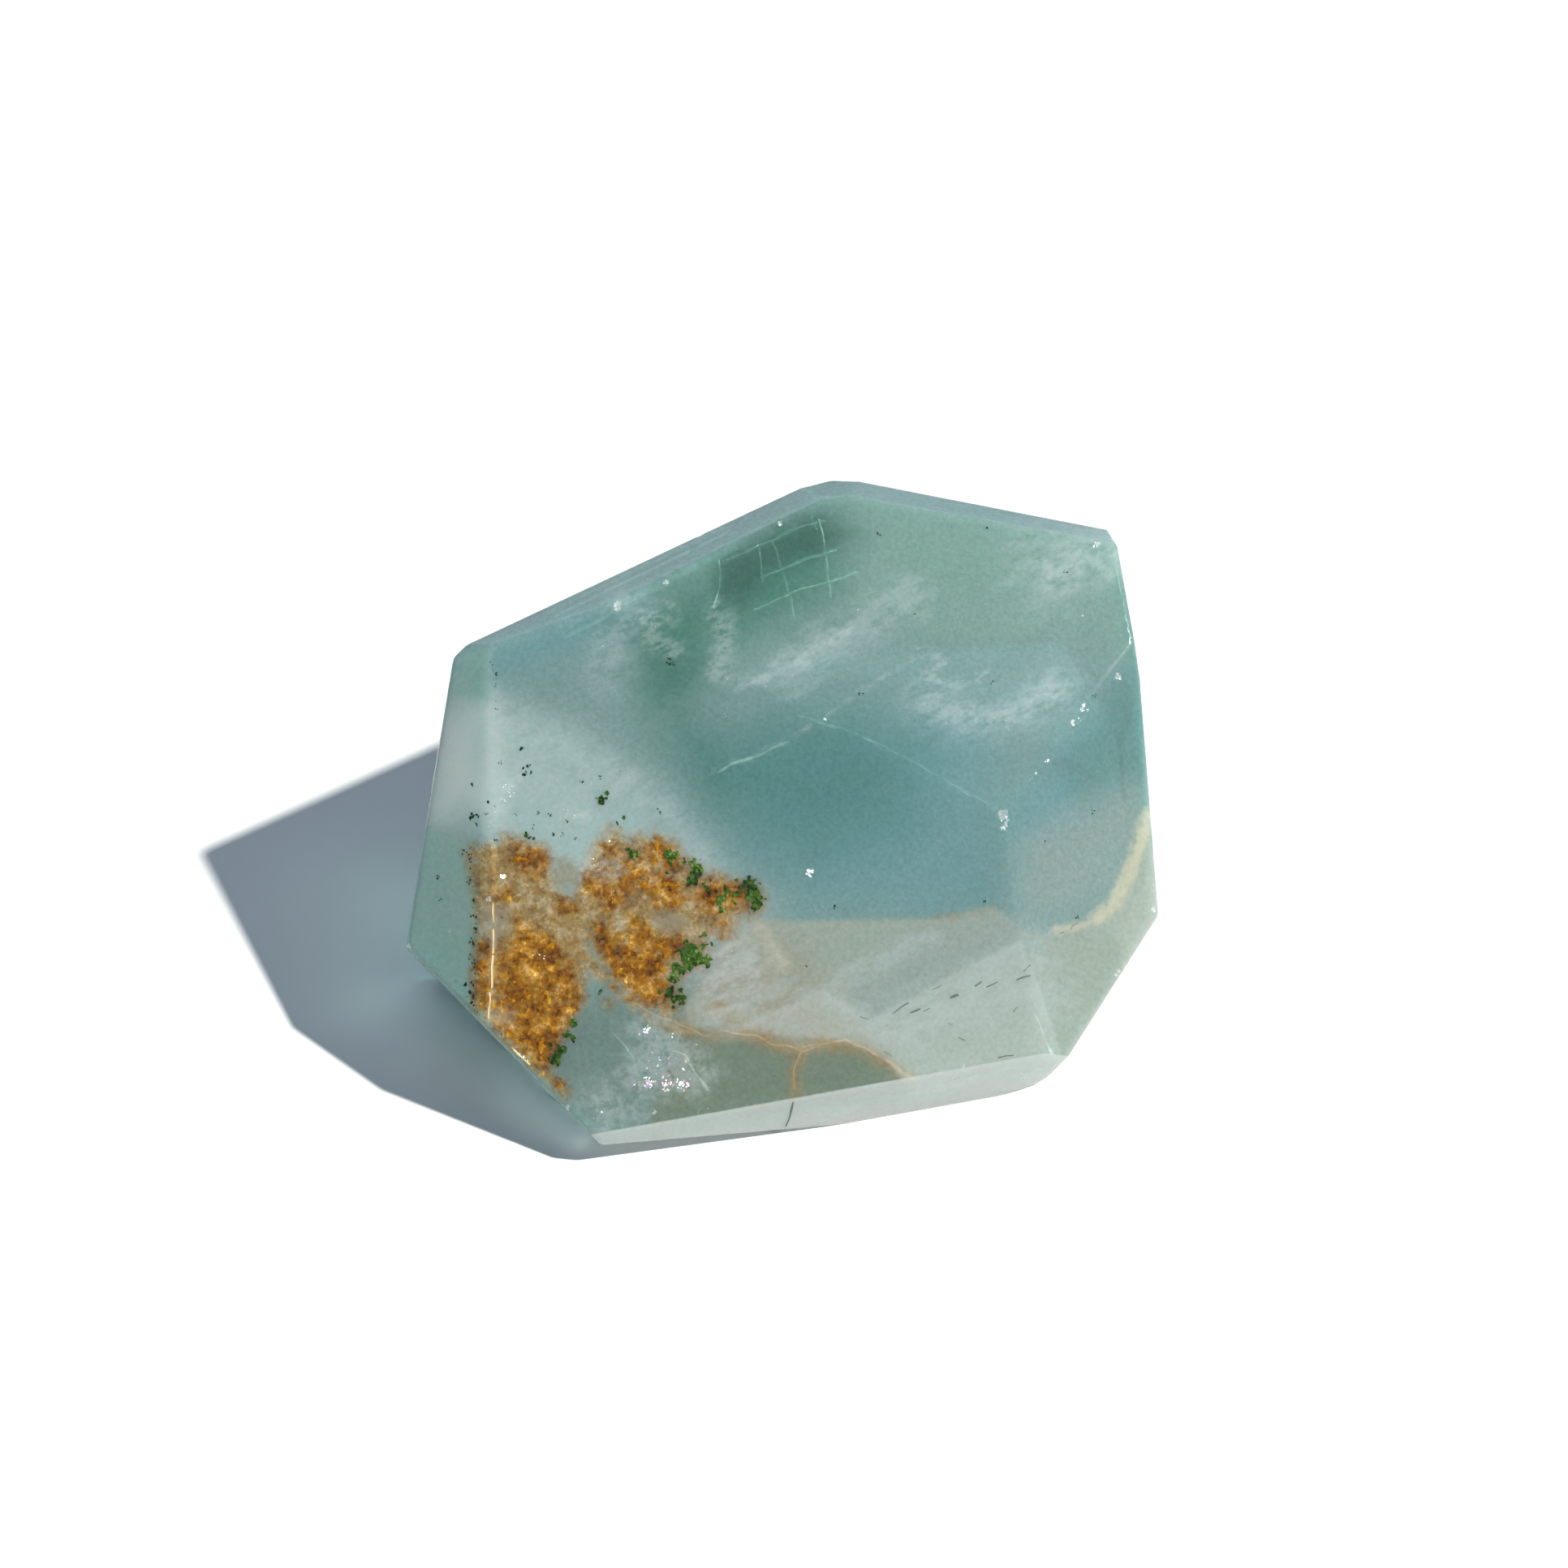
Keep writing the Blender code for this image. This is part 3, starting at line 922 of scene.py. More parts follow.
def square_mm(outline):
    """The area inside an outline, roughly, as if it lay on the table in the middle of the picture."""
    x, y = np.array(outline).T
    return abs(x @ np.roll(y, 1) - y @ np.roll(x, 1)) / 2 * (DISTANCE / FOCAL_PIXELS / MM) ** 2


def grind(shape, proud=PROUD):
    """Pushes what sticks out of the stone back to its ground faces, or a little above or below them."""
    spots = np.array([vert.co for vert in shape.verts])
    for _ in range(GRINDING_PASSES):
        for normal, point in ground_faces:
            over = (spots - np.array(point)) @ normal - proud
            spots -= np.clip(over, 0, None)[:, None] * normal
    for vert, spot in zip(shape.verts, spots):
        vert.co = spot
    bmesh.ops.recalc_face_normals(shape, faces=shape.faces[:])


# %% Crowds and lumps
LUMP_NOISE = 1.6  # how fine the dents of a lump are


def crowd(middle, spread, count, luck):
    """Random pixels crowded round one."""
    return middle + luck.normal(0, spread / 2, (count, 2))


def anywhere(luck):
    """A random place in the noise, so that no two bits have the same shape."""
    return Vector(luck.uniform(-99, 99, 3))


def pebble(detail):
    """A round bmesh, and where its points belong."""
    shape = bmesh.new()
    bmesh.ops.create_icosphere(shape, subdivisions=detail, radius=1)
    return shape, [vert.co.copy() for vert in shape.verts]


PEBBLES = {detail: pebble(detail) for detail in (1, 2)}
handful = bpy.data.meshes.new("handful")


def add_lump(shape, spot, radius, luck, flatness=0.7, roughness=0.35, detail=1):
    """Adds a small rough lump to a bmesh, turned at random."""
    turn = Euler(luck.uniform(0, math.tau, 3)).to_matrix()
    stretch = Vector((1, luck.uniform(flatness, 1), luck.uniform(flatness, 1) * flatness))
    start = anywhere(luck)
    ball, homes = PEBBLES[detail]
    for vert, home in zip(ball.verts, homes):
        rough = 1 + roughness * noise.noise(home * LUMP_NOISE + start)
        vert.co = Vector(spot) + turn @ (home * stretch) * rough * radius
    ball.to_mesh(handful)
    shape.from_mesh(handful)


def fused(shape, cell):
    """Melts the lumps of a bmesh into one skin, by the Remesh modifier with cells of this size."""
    mesh = bpy.data.meshes.new("lumps")
    shape.to_mesh(mesh)
    shape.clear()
    lumps = add_object("lumps", mesh)
    remesh = lumps.modifiers.new("melt together", "REMESH")
    remesh.mode = "VOXEL"
    remesh.voxel_size = cell
    shape.from_mesh(lumps.evaluated_get(bpy.context.evaluated_depsgraph_get()).data)
    bpy.data.objects.remove(lumps)
    bpy.data.meshes.remove(mesh)
    return shape


# %% Mineral grains
GRAIN_GLOSS = 0.12
GRAIN_HEIGHT = 0.05 * MM


def grainy_material(name, grain, spread, drift, stops, roughness, relief=0.3):
    """Mineral grains: a tone for each grain, looked up on a ramp."""
    material = plain_material(name, stops[0][1], roughness)
    tree = material.node_tree
    shader = tree.nodes["Principled BSDF"]
    tones = use(tree, grain_tones, {"Grain": grain, "Spread": spread, "Drift": drift})
    tree.links.new(ramp(tree, tones["Tone"], stops), shader.inputs["Base Color"])
    shader.inputs["Specular IOR Level"].default_value = GRAIN_GLOSS
    bump = add(tree, "Bump", {"Height": tones["Relief"], "Strength": relief, "Distance": GRAIN_HEIGHT})
    tree.links.new(bump.outputs["Normal"], shader.inputs["Normal"])
    return material


# %% [markdown]
# ## The rusty matrix
# This crystal grew on, and partly round, a crumbly rock full of iron. What is left of the rock is a
# patch of rust-coloured grains at the lower left, some bared at the polished face and some up to
# a millimetre below it, where they look paler through the milky fluorite. Lumps are sprinkled
# inside outlines drawn over the picture, melted together with a voxel remesh so that they make
# one crumbly mass, and roughened. Then the mass is ground, in some places flush with the face and
# in others a hair below it.

# %% Sprinkle and fuse the matrix
# The outlines, how many lumps to the square millimetre, their largest radius and greatest depth in
# millimetres
RUST_LUMPS = ((RUST, 14, 0.30, 0.8), (STAINED, 2.5, 0.22, 0.9))
SMALLEST_LUMP = 0.08
STRAY_PIXELS = 4
LUMP_ROUGHNESS = 0.6
MOSTLY_SHALLOW = (0.7, 2.5)  # a beta distribution that puts most lumps near the face
MATRIX_CELL = 0.11 * MM
CRUMBS, CRUMB_HEIGHT = 2600, 0.10  # to the metre, and in millimetres
BARED_PATCHES = 1100  # to the metre
# How far above the face the mass is ground, in millimetres: it swings round a middle, within limits
GROUND_SWING, GROUND_MIDDLE = 0.12, 0.01
GROUND_LIMITS = (-0.06, 0.02)

luck = np.random.default_rng(11)
matrix = bmesh.new()
for outlines, crowding, largest, deepest in RUST_LUMPS:
    for outline in outlines:
        for pixel in pixels_in(outline, int(crowding * square_mm(outline)), luck):
            pixel = pixel + luck.normal(0, STRAY_PIXELS, 2)
            size = luck.uniform(SMALLEST_LUMP, largest) * MM
            spot = place(pixel, size / 2 + luck.beta(*MOSTLY_SHALLOW) * deepest * MM)
            add_lump(matrix, spot, size, luck, roughness=LUMP_ROUGHNESS, detail=2)
fused(matrix, MATRIX_CELL)
for vert in matrix.verts:
    vert.co += vert.normal * noise.noise(vert.co * CRUMBS) * CRUMB_HEIGHT * MM
bared = np.array([noise.noise(vert.co * BARED_PATCHES) for vert in matrix.verts])
grind(matrix, np.clip(bared * GROUND_SWING + GROUND_MIDDLE, *GROUND_LIMITS) * MM)
print("the matrix has", len(matrix.faces), "faces")

# %% The matrix takes its colours
LUMP_TONES = (
    (0.05, srgb(80, 42, 2)), (0.28, srgb(118, 74, 4)), (0.48, srgb(142, 96, 8)),
    (0.68, srgb(162, 120, 32)), (0.92, srgb(212, 178, 112)),
)
LET_PAST = 0.7  # the share of the lamp's light that passes each thin crust of rust
rust = grainy_material("rusty_grains", 0.30, 0.35, 1.9, LUMP_TONES, 0.7, relief=0.10)
tree = rust.node_tree
passing = maths(tree, "MULTIPLY", add(tree, "LightPath").outputs["Is Shadow Ray"], LET_PAST)
crust = add(
    tree, "MixShader",
    {
        0: passing, 1: tree.nodes["Principled BSDF"].outputs["BSDF"],
        2: add(tree, "BsdfTransparent").outputs["BSDF"],
    },
)
tree.links.new(crust.outputs[0], tree.nodes["Material Output"].inputs["Surface"])
join_in(mesh_object("rusty_matrix", matrix, rust))

# %% [markdown]
# ## Green grains and dark flecks
# Round the edge of the rust sit small clusters of a deep green mineral, and loose dark grains no
# bigger than sand are strewn over the left side. The clusters are lumps crowded round a spot and
# melted together. A dark fleck is three small lumps side by side, and more dark grains are strung
# out in short lines. The hidden side gets a few flecks of its own.

# %% Green clusters
# The middle of a cluster, how far it spreads in pixels, and its number of lumps
CLUSTERS = (
    (929, 1100, 13, 46), (932, 1114, 7, 20), (926, 1086, 7, 10), (911, 1095, 10, 14), (851, 1176, 15, 60),
    (838, 1190, 12, 30), (829, 1203, 7, 18), (868, 1184, 7, 18), (832, 1227, 13, 16), (857, 1070, 10, 34),
    (852, 1084, 9, 16), (829, 1053, 9, 34), (781, 1053, 7, 18), (706, 1261, 6, 20), (684, 1303, 7, 24),
    (688, 1294, 8, 14), (706, 1280, 4, 10), (698, 1275, 6, 7), (887, 1108, 6, 14), (902, 1096, 9, 8),
    (868, 1152, 6, 6), (741, 985, 7, 14), (748, 977, 3, 5), (770, 1007, 3, 5), (740, 1222, 3, 8),
    (876, 1165, 5, 5), (820, 1076, 3, 3), (843, 1060, 4, 5), (760, 1018, 5, 3), (649, 1031, 3, 4),
    (582, 1003, 3, 3), (896, 1112, 14, 8), (840, 1240, 10, 7), (872, 1090, 10, 6),
)
GREEN_DEPTHS = (-0.05, 0.12)
SMALLEST_GREEN, LARGEST_GREEN = 0.09, 0.18
WIDER_LARGER = 0.01  # what each pixel of spread adds to the largest lump
GREEN_CELL = 0.08 * MM

luck = np.random.default_rng(21)
green = bmesh.new()
for across, down, spread, count in CLUSTERS:
    largest = LARGEST_GREEN + WIDER_LARGER * spread
    for pixel in crowd((across, down), spread, count, luck):
        spot = place(pixel, luck.uniform(*GREEN_DEPTHS) * MM)
        size = luck.uniform(SMALLEST_GREEN, largest) * MM
        add_lump(green, spot, size, luck, roughness=LUMP_ROUGHNESS, detail=2)
fused(green, GREEN_CELL)
grind(green, 1.5 * PROUD)
print("the green clusters have", len(green.faces), "faces")
green_mineral = grainy_material(
    "green_mineral", 0.22, 0.6, 1.6,
    (
        (0.10, srgb(4, 18, 0)), (0.34, srgb(20, 46, 4)), (0.56, srgb(44, 74, 16)),
        (0.74, srgb(70, 96, 34)), (0.94, srgb(130, 146, 84)),
    ),
    0.5, relief=0.5,
)
join_in(mesh_object("green_grains", green, green_mineral))

# %% Dark flecks
# Loose grains: the pixel and the size in millimetres
FLECKS = (
    (571, 1052, 0.16), (578, 1087, 0.12), (582, 1127, 0.12), (582, 1160, 0.14), (579, 1178, 0.12),
    (576, 1218, 0.16), (582, 1235, 0.12), (580, 1004, 0.17), (586, 1006, 0.10), (588, 1014, 0.10),
    (607, 991, 0.12), (649, 1030, 0.18), (656, 1034, 0.12), (679, 1026, 0.13), (661, 1001, 0.11),
    (677, 1002, 0.09), (640, 923, 0.20), (648, 950, 0.24), (651, 946, 0.16), (615, 940, 0.12),
    (580, 967, 0.10), (600, 1002, 0.07), (694, 1030, 0.09), (708, 1032, 0.08), (717, 962, 0.08),
    (738, 958, 0.09), (812, 1000, 0.09), (825, 817, 0.16), (831, 820, 0.12), (604, 800, 0.09),
    (606, 817, 0.08), (611, 832, 0.10), (612, 846, 0.09), (611, 874, 0.08), (540, 1080, 0.09),
    (543, 1108, 0.08), (612, 1035, 0.08), (635, 1004, 0.07), (700, 1012, 0.07), (658, 1019, 0.08),
    (1063, 855, 0.11), (1315, 706, 0.08), (1349, 858, 0.10), (1126, 756, 0.08), (1083, 658, 0.09),
    (1216, 650, 0.09), (1222, 842, 0.08), (1213, 1111, 0.07), (1412, 1094, 0.16), (1407, 1097, 0.12),
    (1328, 1131, 0.10), (1027, 1119, 0.09), (1290, 1037, 0.09), (1347, 1000, 0.08), (992, 1190, 0.06),
)
# Dashes of dark grains: two ends, how many, and their size
DASHES = (
    (1165, 1255, 1172, 1262, 4, 0.06), (1055, 1250, 1110, 1270, 6, 0.04), (1310, 1148, 1332, 1140, 5, 0.05),
    (1175, 1330, 1200, 1324, 8, 0.04), (1040, 1392, 1064, 1386, 6, 0.04), (955, 1118, 1050, 1120, 8, 0.05),
    (560, 1205, 590, 1250, 6, 0.08), (980, 1300, 990, 1310, 4, 0.05), (606, 800, 611, 872, 14, 0.05),
    (760, 950, 800, 962, 4, 0.06), (970, 858, 990, 872, 4, 0.05), (579, 1052, 585, 1130, 14, 0.14),
    (585, 1130, 583, 1240, 24, 0.14), (576, 1046, 600, 1041, 5, 0.10), (586, 1244, 640, 1296, 8, 0.08),
)
# Made-up flecks of the hidden side
FLECKS_BEHIND = (
    (1240, 1260, 0.14), (1256, 1240, 0.10), (1262, 1205, 0.12), (1220, 1290, 0.16), (1180, 1330, 0.12),
    (1150, 1345, 0.10), (1300, 1180, 0.09), (1340, 1110, 0.10), (1120, 1300, 0.08), (1060, 1180, 0.07),
    (960, 1240, 0.08), (840, 1260, 0.07), (720, 1240, 0.09), (690, 1100, 0.07), (600, 1250, 0.08),
)
GRAINS_IN_A_FLECK = 3
FLECK_SPREAD, DASH_SPREAD = 18, 8  # in pixels, for each millimetre of size

luck = np.random.default_rng(31)
dark = bmesh.new()
for eye, flecks in ((FRONT, FLECKS), (BEHIND, FLECKS_BEHIND)):
    for across, down, size in flecks:
        for _ in range(GRAINS_IN_A_FLECK):
            spot = place((across, down) + luck.normal(0, FLECK_SPREAD * size, 2), 0, eye)
            add_lump(dark, spot, luck.uniform(0.8, 1.5) * size * MM, luck, flatness=0.5)
for left, top, right, bottom, count, size in DASHES:
    for share in luck.uniform(0, 1, count):
        pixel = Vector((left, top)).lerp(Vector((right, bottom)), share)
        pixel += Vector(luck.normal(0, DASH_SPREAD * size, 2))
        add_lump(dark, place(pixel), luck.uniform(0.6, 1.3) * size * MM, luck, flatness=0.4)
grind(dark, 1.2 * PROUD)
print("the dark flecks have", len(dark.faces), "faces")
dark_mineral = grainy_material(
    "dark_mineral", 0.2, 0.6, 0.5,
    ((0.2, srgb(12, 22, 18)), (0.6, srgb(28, 44, 36)), (0.9, srgb(66, 74, 52))),
    0.6,
)
join_in(mesh_object("dark_flecks", dark, dark_mineral))

# %% [markdown]
# ## Bubbles in the veils
# A milky veil is a crack that healed while the crystal still grew, and shut in a sheet of tiny
# bubbles. The soft white wash on the body stands for the thousands that are too small to see. The
# largest ones show one by one, so these are real bits: small white lumps, strewn along the same
# lines as the veils, at depths down to some millimetres, and crowded at chips and bright spots.
# The white lumps at the bright spots also stand in for the lamp's glint there: in part a painted
# highlight.

# %% White bubbles
BUBBLES_PER_VEIL = 110
VEIL_DEPTH, CROWD_DEPTH = 1.2, 0.08
VEIL_BUBBLE = (0.02, 0.06)
SMALLEST_SHARE = 0.25
# The crowds at the glints are in part a painted highlight
# Crowds of larger ones: the middle, the spread in pixels, how many, the radius in millimetres
CROWDS = (
    (625, 972, 10, 30, 0.11), (617, 985, 7, 24, 0.10), (608, 1000, 7, 18, 0.08), (708, 1005, 7, 22, 0.09),
    (700, 1002, 9, 12, 0.06), (602, 1014, 8, 12, 0.07), (806, 770, 9, 26, 0.07), (800, 765, 6, 14, 0.06),
    (815, 798, 9, 16, 0.06), (890, 815, 14, 26, 0.05), (893, 832, 9, 18, 0.06), (948, 840, 10, 12, 0.05),
    (1016, 887, 3, 8, 0.07), (1340, 875, 8, 16, 0.06), (1329, 886, 6, 10, 0.05), (1378, 832, 6, 8, 0.05),
    (1275, 962, 6, 10, 0.05), (1290, 942, 5, 8, 0.05), (1241, 1010, 4, 36, 0.07), (1238, 1022, 3, 16, 0.07),
    (962, 646, 4, 8, 0.06), (822, 718, 4, 10, 0.06), (1240, 894, 14, 26, 0.06), (1262, 880, 12, 18, 0.05),
    (1200, 893, 22, 20, 0.05), (1323, 692, 12, 16, 0.05), (997, 1075, 4, 24, 0.09), (902, 1064, 3, 8, 0.06),
    (948, 1155, 8, 14, 0.08), (953, 1178, 6, 8, 0.06), (735, 1065, 12, 26, 0.10), (664, 1180, 7, 14, 0.11),
    (755, 1105, 12, 16, 0.09), (1334, 759, 3, 5, 0.06), (554, 1148, 3, 6, 0.06), (520, 1050, 3, 6, 0.05),
    (505, 1166, 4, 16, 0.07), (1376, 1200, 5, 14, 0.07), (890, 890, 20, 14, 0.05),
    (1000, 1060, 30, 14, 0.04), (1226, 1116, 4, 6, 0.06), (650, 873, 4, 5, 0.06), (1268, 1070, 30, 8, 0.04),
    (960, 666, 3, 5, 0.06), (863, 1365, 8, 12, 0.06), (745, 1370, 14, 24, 0.07), (722, 1376, 10, 14, 0.06),
    (912, 1180, 22, 30, 0.06), (888, 1200, 14, 24, 0.06), (880, 1222, 12, 18, 0.06),
    (1310, 975, 12, 8, 0.04), (1264, 1332, 12, 22, 0.06), (1292, 1314, 8, 10, 0.05),
)
# Made-up crowds of the hidden side
CROWDS_BEHIND = (
    (700, 1158, 20, 26, 0.06), (640, 1190, 14, 18, 0.07), (1110, 1210, 26, 34, 0.07),
    (1160, 1150, 16, 18, 0.06), (1290, 1170, 18, 22, 0.06), (860, 1180, 14, 14, 0.06),
    (1000, 1090, 12, 12, 0.07), (1320, 960, 18, 18, 0.06), (1205, 1335, 5, 12, 0.07),
    (998, 1366, 5, 10, 0.06), (620, 1314, 5, 10, 0.06), (915, 1042, 5, 12, 0.07),
)
luck = np.random.default_rng(41)
bubbles = bmesh.new()
for eye, streaks, crowds in ((FRONT, STREAKS, CROWDS), (BEHIND, STREAKS_BEHIND, CROWDS_BEHIND)):
    for zone, width, strength, line in streaks:
        if zone != "veil":
            continue
        for share in luck.uniform(0, len(line) - 1.001, BUBBLES_PER_VEIL):
            start, end = Vector(line[int(share)]), Vector(line[int(share) + 1])
            pixel = start.lerp(end, share % 1) + Vector(luck.normal(0, width / 4, 2))
            spot = place(pixel, abs(luck.normal(0, VEIL_DEPTH)) * MM, eye)
            add_lump(bubbles, spot, luck.uniform(*VEIL_BUBBLE) * MM, luck, flatness=0.5)
    for across, down, spread, count, size in crowds:
        for pixel in crowd((across, down), spread, count, luck):
            spot = place(pixel, abs(luck.normal(0, CROWD_DEPTH)) * MM, eye)
            add_lump(bubbles, spot, luck.uniform(SMALLEST_SHARE, 1) * size * MM, luck, flatness=0.4)
grind(bubbles)
print("the bubbles have", len(bubbles.faces), "faces")
white = plain_material("white_bubbles", srgb(232, 242, 240), 0.25)
join_in(mesh_object("veil_bubbles", bubbles, white))

# %% [markdown]
# ## Cracks and veins
# Fluorite splits along four directions, and a crack seen edge-on is a fine line, while its width
# goes down into the stone. Some cracks let rusty water in: these are the orange veins at the foot.
# Each one is a flat grid, bent to follow a line of the picture at its top and leaned over as it
# goes down, then given a thickness with the solidify operator. A sheet that starts a little below
# the face shows faintly. One that has to show its edge starts above the face and is ground off.

# %% Hang thin sheets under lines
NOISE_SEED = 7
WAVE_PIXELS = 22  # the length of a sheet's waves along its line
WAVES_DOWN = 2
noise.seed_set(NOISE_SEED)  # noise_vector starts from the clock if it is given no seed


def hang_sheet(
    shape, line, deepest, lean, thickness, wobble, luck, top=0.0, cells=(60, 6), eye=FRONT
):
    """Adds a sheet under a line of pixels, from the depth top to the deepest, in millimetres.

    It leans by lean pixels at its deepest, and strays from the line by up to wobble pixels.
    """
    part = bmesh.new()
    bmesh.ops.create_grid(part, x_segments=cells[0], y_segments=cells[1], size=0.5)
    start = anywhere(luck)
    knots = [Vector(pixel) for pixel in line]
    lengths = np.cumsum([0] + [(b - a).length for a, b in zip(knots, knots[1:])])
    for vert in part.verts:
        along, down = vert.co.x + 0.5, vert.co.y + 0.5
        reach = along * lengths[-1]
        number = min(int(np.searchsorted(lengths, reach, "right")) - 1, len(knots) - 2)
        share = (reach - lengths[number]) / (lengths[number + 1] - lengths[number])
        pixel = knots[number].lerp(knots[number + 1], share)
        wave = Vector((along * lengths[-1] / WAVE_PIXELS, down * WAVES_DOWN, 0))
        pixel += (noise.noise_vector(wave + start) * wobble).xy + Vector(lean) * down
        vert.co = place(pixel, (top + (deepest - top) * down) * MM, eye)
    bmesh.ops.recalc_face_normals(part, faces=part.faces[:])
    bmesh.ops.solidify(part, geom=part.faces[:], thickness=thickness * MM)
    part.to_mesh(handful)
    part.free()
    shape.from_mesh(handful)


# %% Rusty veins
# A line of pixels, how deep it goes in millimetres, its lean in pixels and its thickness
VEINS = (
    ([(770, 1228), (800, 1246), (835, 1262), (872, 1276), (900, 1273)], 1.6, (6, 12), 0.10),
    ([(900, 1273), (925, 1275), (960, 1288), (985, 1297), (1010, 1290)], 2.6, (-4, 14), 0.16),
    ([(985, 1296), (1005, 1288), (1040, 1283), (1070, 1294), (1098, 1312), (1122, 1330)],
     2.6, (10, 8), 0.16),
    ([(986, 1297), (981, 1320), (979, 1345)], 2.2, (-10, 0), 0.14),
    ([(600, 1036), (606, 1050), (607, 1100)], 0.8, (4, 0), 0.08),
)
VEIN_TOP, VEIN_WOBBLE = 0.3, 5
VEINS_GROUND = -0.05 * MM  # the veins stay a hair below the face
STAIN_TONES = ((0.2, srgb(150, 126, 88)), (0.5, srgb(176, 154, 114)), (0.8, srgb(200, 182, 146)))

luck = np.random.default_rng(51)
veins = bmesh.new()
for line, deepest, lean, thickness in VEINS:
    hang_sheet(veins, line, deepest, lean, thickness, VEIN_WOBBLE, luck, VEIN_TOP)
grind(veins, VEINS_GROUND)
print("the veins have", len(veins.faces), "faces")
stain = grainy_material("rust_stain", 0.5, 0.6, 1.0, STAIN_TONES, 0.5, relief=0.1)
join_in(mesh_object("rusty_veins", veins, stain))

# %% Cleavage cracks and the long fractures
# The same, and the depth at which the crack begins
CRACKS = (
    ([(885, 950), (901, 941), (940, 928), (972, 912)], 0.5, (1, 2), 0.02, 0.3),
    ([(980, 880), (1060, 905), (1130, 940), (1190, 975), (1236, 1000)], 0.6, (-2, 2), 0.03, 0.2),
    ([(1270, 1240), (1296, 1300)], 0.6, (1, 0), 0.03, 0.2),
    ([(810, 1290), (842, 1300), (872, 1345)], 0.6, (2, 1), 0.04, 0.2),
    ([(752, 1268), (780, 1300), (790, 1345)], 0.6, (-2, 1), 0.04, 0.2),
)
# Made-up cracks of the hidden side
CRACKS_BEHIND = (
    ([(935, 1075), (975, 1140), (1000, 1230), (1040, 1330)], 0.6, (2, 0), 0.04, 0.2),
    ([(660, 1120), (760, 1180), (850, 1275)], 0.6, (1, 2), 0.04, 0.2),
    ([(1090, 1010), (1130, 1100), (1140, 1170)], 0.6, (1, 1), 0.05, 0.3),
    ([(1050, 1040), (1150, 1010), (1270, 975)], 0.6, (1, 1), 0.05, 0.3),
    ([(580, 1180), (640, 1240), (660, 1300)], 0.6, (-2, 1), 0.05, 0.2),
)
CRACK_WOBBLE = 3

luck = np.random.default_rng(61)
cracks = bmesh.new()
for eye, lines in ((FRONT, CRACKS), (BEHIND, CRACKS_BEHIND)):
    for line, deepest, lean, thickness, top in lines:
        hang_sheet(cracks, line, deepest, lean, thickness, CRACK_WOBBLE, luck, top, eye=eye)
grind(cracks)
print("the cleavage cracks have", len(cracks.faces), "faces")
crack_white = plain_material("crack_white", srgb(180, 198, 186), 0.3)
join_in(mesh_object("cleavage_cracks", cracks, crack_white))

# %% Bright edges, painted highlights
# Painted highlights: pale sheets along the rounded edge of a face that cuts through the rust, where the
# edge catches the lamp
HIGHLIGHT_LINES = (
    [(607, 1112), (607, 1136)], [(607, 1144), (606, 1184), (604, 1216)], [(604, 1222), (602, 1256)],
    [(631, 1290), (640, 1300), (652, 1312)],
)
ABOVE = -0.08  # a sheet that starts this far above the face is ground off and shows its edge
BRIGHT_DEPTH, BRIGHT_THICKNESS = 0.2, 0.025

bright = bmesh.new()
for line in HIGHLIGHT_LINES:
    hang_sheet(
        bright, line, BRIGHT_DEPTH, (1, 0), BRIGHT_THICKNESS, CRACK_WOBBLE, luck, ABOVE, cells=(40, 4)
    )
grind(bright)
print("the bright edges have", len(bright.faces), "faces")
# Painted highlight: a pale cream sheet stands for the lamp caught by the rounded edge
painted_edge_highlight = plain_material("painted_edge_highlight", srgb(226, 192, 132), 0.3)
join_in(mesh_object("edge_highlight_sheets", bright, painted_edge_highlight))

# %% Crossing cracks
# Faint cracks that cross like a grid, for which only the line and the lean are given
GRID = (
    ([(952, 666), (964, 700), (976, 740), (978, 760)], (-1, 0)), ([(936, 676), (940, 718)], (-1, 0)),
    ([(1012, 640), (1018, 684), (1026, 736)], (-1, 0)), ([(886, 688), (888, 724), (880, 750)], (-1, 0)),
    ([(1000, 632), (1008, 652)], (-1, 0)), ([(892, 692), (952, 666), (980, 652), (1014, 642)], (1, 1)),
    ([(936, 712), (964, 700), (1000, 684), (1030, 678)], (1, 1)),
    ([(928, 752), (976, 728), (1020, 716), (1056, 704)], (1, 1)),
)
GRID_TOP, GRID_DEPTH, GRID_THICKNESS = 0.17, 0.6, 0.13

grid = bmesh.new()
for line, lean in GRID:
    hang_sheet(grid, line, GRID_DEPTH, lean, GRID_THICKNESS, CRACK_WOBBLE, luck, GRID_TOP)
print("the crossing cracks have", len(grid.faces), "faces")
crack_faint = plain_material("crack_faint", srgb(150, 180, 168), 0.3)
join_in(mesh_object("crossing_cracks", grid, crack_faint))

# %% Open cracks
# The lines of short open cracks, dark inside
DARK_CRACKS = (
    [(1100, 1246), (1118, 1236)], [(1121, 1249), (1133, 1243)], [(1137, 1247), (1146, 1243)],
    [(1171, 1228), (1182, 1225)], [(1199, 1214), (1209, 1209)], [(1216, 1217), (1228, 1211)],
    [(1254, 1209), (1269, 1203)], [(1249, 1249), (1253, 1241)], [(1181, 1276), (1190, 1280)],
    [(1230, 1304), (1249, 1301)], [(1090, 1294), (1101, 1301)], [(1320, 1143), (1328, 1138)],
    [(1409, 1093), (1416, 1089)], [(977, 1357), (973, 1376), (968, 1391)], [(1150, 1220), (1160, 1215)],
    [(1262, 1196), (1270, 1188)], [(1060, 1253), (1070, 1257)], [(1305, 1148), (1310, 1146)],
)
THINNEST, THICKEST = 0.02, 0.08
OPEN_DEPTH, OPEN_WOBBLE = 0.25, 4

